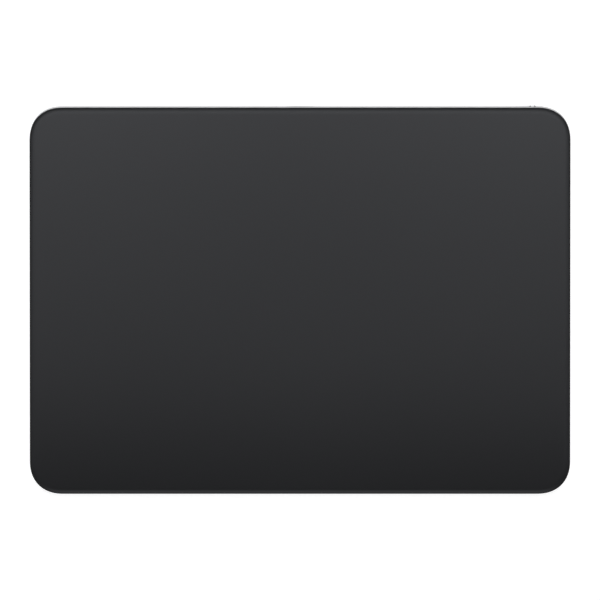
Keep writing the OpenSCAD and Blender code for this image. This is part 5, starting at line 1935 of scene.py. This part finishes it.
@dataclass(frozen=True)
class Studio:
    """Pale floor, white surroundings under a dim ceiling, soft boxes and camera; lengths are in metres."""

    wedge: Wedge
    floor_size: float = 6.0
    floor_steps: int = 12
    floor_tone: Colour = (0.66, 0.66, 0.66)
    floor_lift: Pair = (0.72, 0.95)  # own light of the floor under the object and far from it
    floor_reach: Pair = (0.15, 0.7)  # distances between which that light rises
    # painted contact shadow under the object: how far inside the outline it deepens, and the least share of
    # the floor's own light that it leaves
    painted_shadow_reach: float = 0.003
    painted_shadow_least: float = 0.15
    ceiling: float = 0.0585
    skyline: Pair = (0.0886, 0.2532)
    lens: float = 1500.0
    sensor: float = 36.0
    clip: Pair = (0.1, 100.0)
    distance: float = 7.3973
    lean: float = 2.99
    aim: Point = (0.0, 0.00022, 0.0079)

    def floor(self) -> None:
        """Plain level floor: a grid of squares, with its own material."""
        line = np.linspace(-self.floor_size / 2, self.floor_size / 2, self.floor_steps + 1)
        x, y = np.meshgrid(line, line)
        index = np.arange(x.size).reshape(x.shape)
        quads = np.stack([index[:-1, :-1], index[:-1, 1:], index[1:, 1:], index[1:, :-1]], -1).reshape(-1, 4)
        mesh = bpy.data.meshes.new("floor")
        mesh.from_pydata(np.stack([x, y, np.zeros_like(x)], -1).reshape(-1, 3).tolist(), [], quads.tolist())
        mesh.materials.append(self.floor_material())
        floor = bpy.data.objects.new("floor", mesh)
        bpy.context.scene.collection.objects.link(floor)

    def floor_material(self) -> bpy.types.Material:
        """Matt floor with a little light of its own and a painted contact shadow under the object, open to
        light and to sight from below.

        Returns:
            The material.
        """
        made, sketch, where = open_material("floor", self.floor_tone)
        path = sketch.add("LightPath").outputs
        seen = sketch.math("MAXIMUM", path["Is Camera Ray"], path["Is Glossy Ray"])
        seen = sketch.math("MAXIMUM", seen, path["Is Transmission Ray"])
        matt = sketch.add("BsdfDiffuse", {"Color": (*self.floor_tone, 1.0)}).outputs[0]
        glow = sketch.eased(sketch.vector("LENGTH", where), self.floor_reach, self.floor_lift)
        # the floor's own light, darkened by the painted contact shadow under the object
        strength = sketch.math("MULTIPLY", glow, self.painted_contact_shadow(sketch, where))
        lift = sketch.add("Emission", {"Strength": strength}).outputs[0]
        lit = sketch.add("AddShader", {0: matt, 1: lift}).outputs[0]
        clear = sketch.add("BsdfTransparent").outputs[0]
        back = sketch.add("NewGeometry").outputs["Backfacing"]
        hidden = sketch.math("MAXIMUM", sketch.math("SUBTRACT", 1.0, seen), back)
        surface = sketch.add("MixShader", {0: hidden, 1: lit, 2: clear}).outputs[0]
        sketch.add("OutputMaterial", {"Surface": surface})
        return made

    def painted_contact_shadow(self, sketch: Nodes, where: Socket) -> Socket:
        """Painted contact shadow: share of the floor's own light that is left where the object stands over
        it.

        The distance outside the round-cornered outline is |max(|p| - h, 0)| - corner, where h is the half
        size less the corner, and the share falls from the edge inwards.

        Args:
            sketch: Tree of the floor's material.
            where: Socket of the coordinates.

        Returns:
            The socket of the share.
        """
        edge = self.wedge.corner * MM
        half = (self.wedge.width * MM / 2 - edge, self.wedge.depth * MM / 2 - edge, 0.0)
        beyond = sketch.vector("SUBTRACT", sketch.vector("ABSOLUTE", where), half)
        gap = sketch.vector("LENGTH", sketch.vector("MAXIMUM", beyond, (0.0, 0.0, 0.0)))
        return sketch.eased(gap, (edge - self.painted_shadow_reach, edge), (self.painted_shadow_least, 1.0))

    def surroundings(self) -> None:
        """White all round up to a little above the horizon, then a dim ceiling; white where it is seen."""
        world = bpy.data.worlds.new("studio")
        world.use_nodes = True
        sketch = Nodes(world.node_tree)
        way = sketch.add("SeparateXYZ", {0: sketch.add("TexCoord").outputs["Generated"]}).outputs[2]
        level = sketch.eased(way, self.skyline, (1.0, self.ceiling))
        strength = sketch.math("MAXIMUM", level, sketch.add("LightPath").outputs["Is Camera Ray"])
        back = sketch.add("Background", {"Strength": strength, "Color": (1.0, 1.0, 1.0, 1.0)}).outputs[0]
        sketch.add("OutputWorld", {"Surface": back})
        bpy.context.scene.world = world

    def camera(self) -> None:
        """Long lens above the plate, leaning a little to the rear, with the rear edge at the top."""
        lens = bpy.data.cameras.new("camera")
        lens.lens, lens.sensor_width = self.lens, self.sensor
        lens.clip_start, lens.clip_end = self.clip
        camera = bpy.data.objects.new("camera", lens)
        lean = math.radians(self.lean)
        camera.location = np.array(self.aim) + self.distance * at(0.0, math.sin(lean), math.cos(lean))
        camera.rotation_euler = (-lean, 0.0, 0.0)
        bpy.context.scene.collection.objects.link(camera)
        bpy.context.scene.camera = camera

    def build(self) -> None:
        """Set the stage."""
        self.camera()
        self.floor()
        self.surroundings()
        for lamp in LAMPS:
            lamp.build()
        bpy.context.scene.view_settings.view_transform = "Standard"


def main() -> None:
    """Build and dress every piece and set the stage."""
    logging.basicConfig(level=logging.INFO, format="%(name)s: %(message)s")
    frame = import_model()
    wedge = Wedge()
    shop = Workshop(frame)
    Studio(wedge).build()
    outside = (TouchPlate, Enclosure, Underside, ChargingPort, PowerSwitch)
    inside = (ForceSprings, Fasteners, Battery, HapticActuator, BoardParts, BentPieces)
    for assembly in (*outside, *inside):
        assembly(wedge, shop).build()
    shop.dress_rest()


if __name__ == "__main__":
    main()
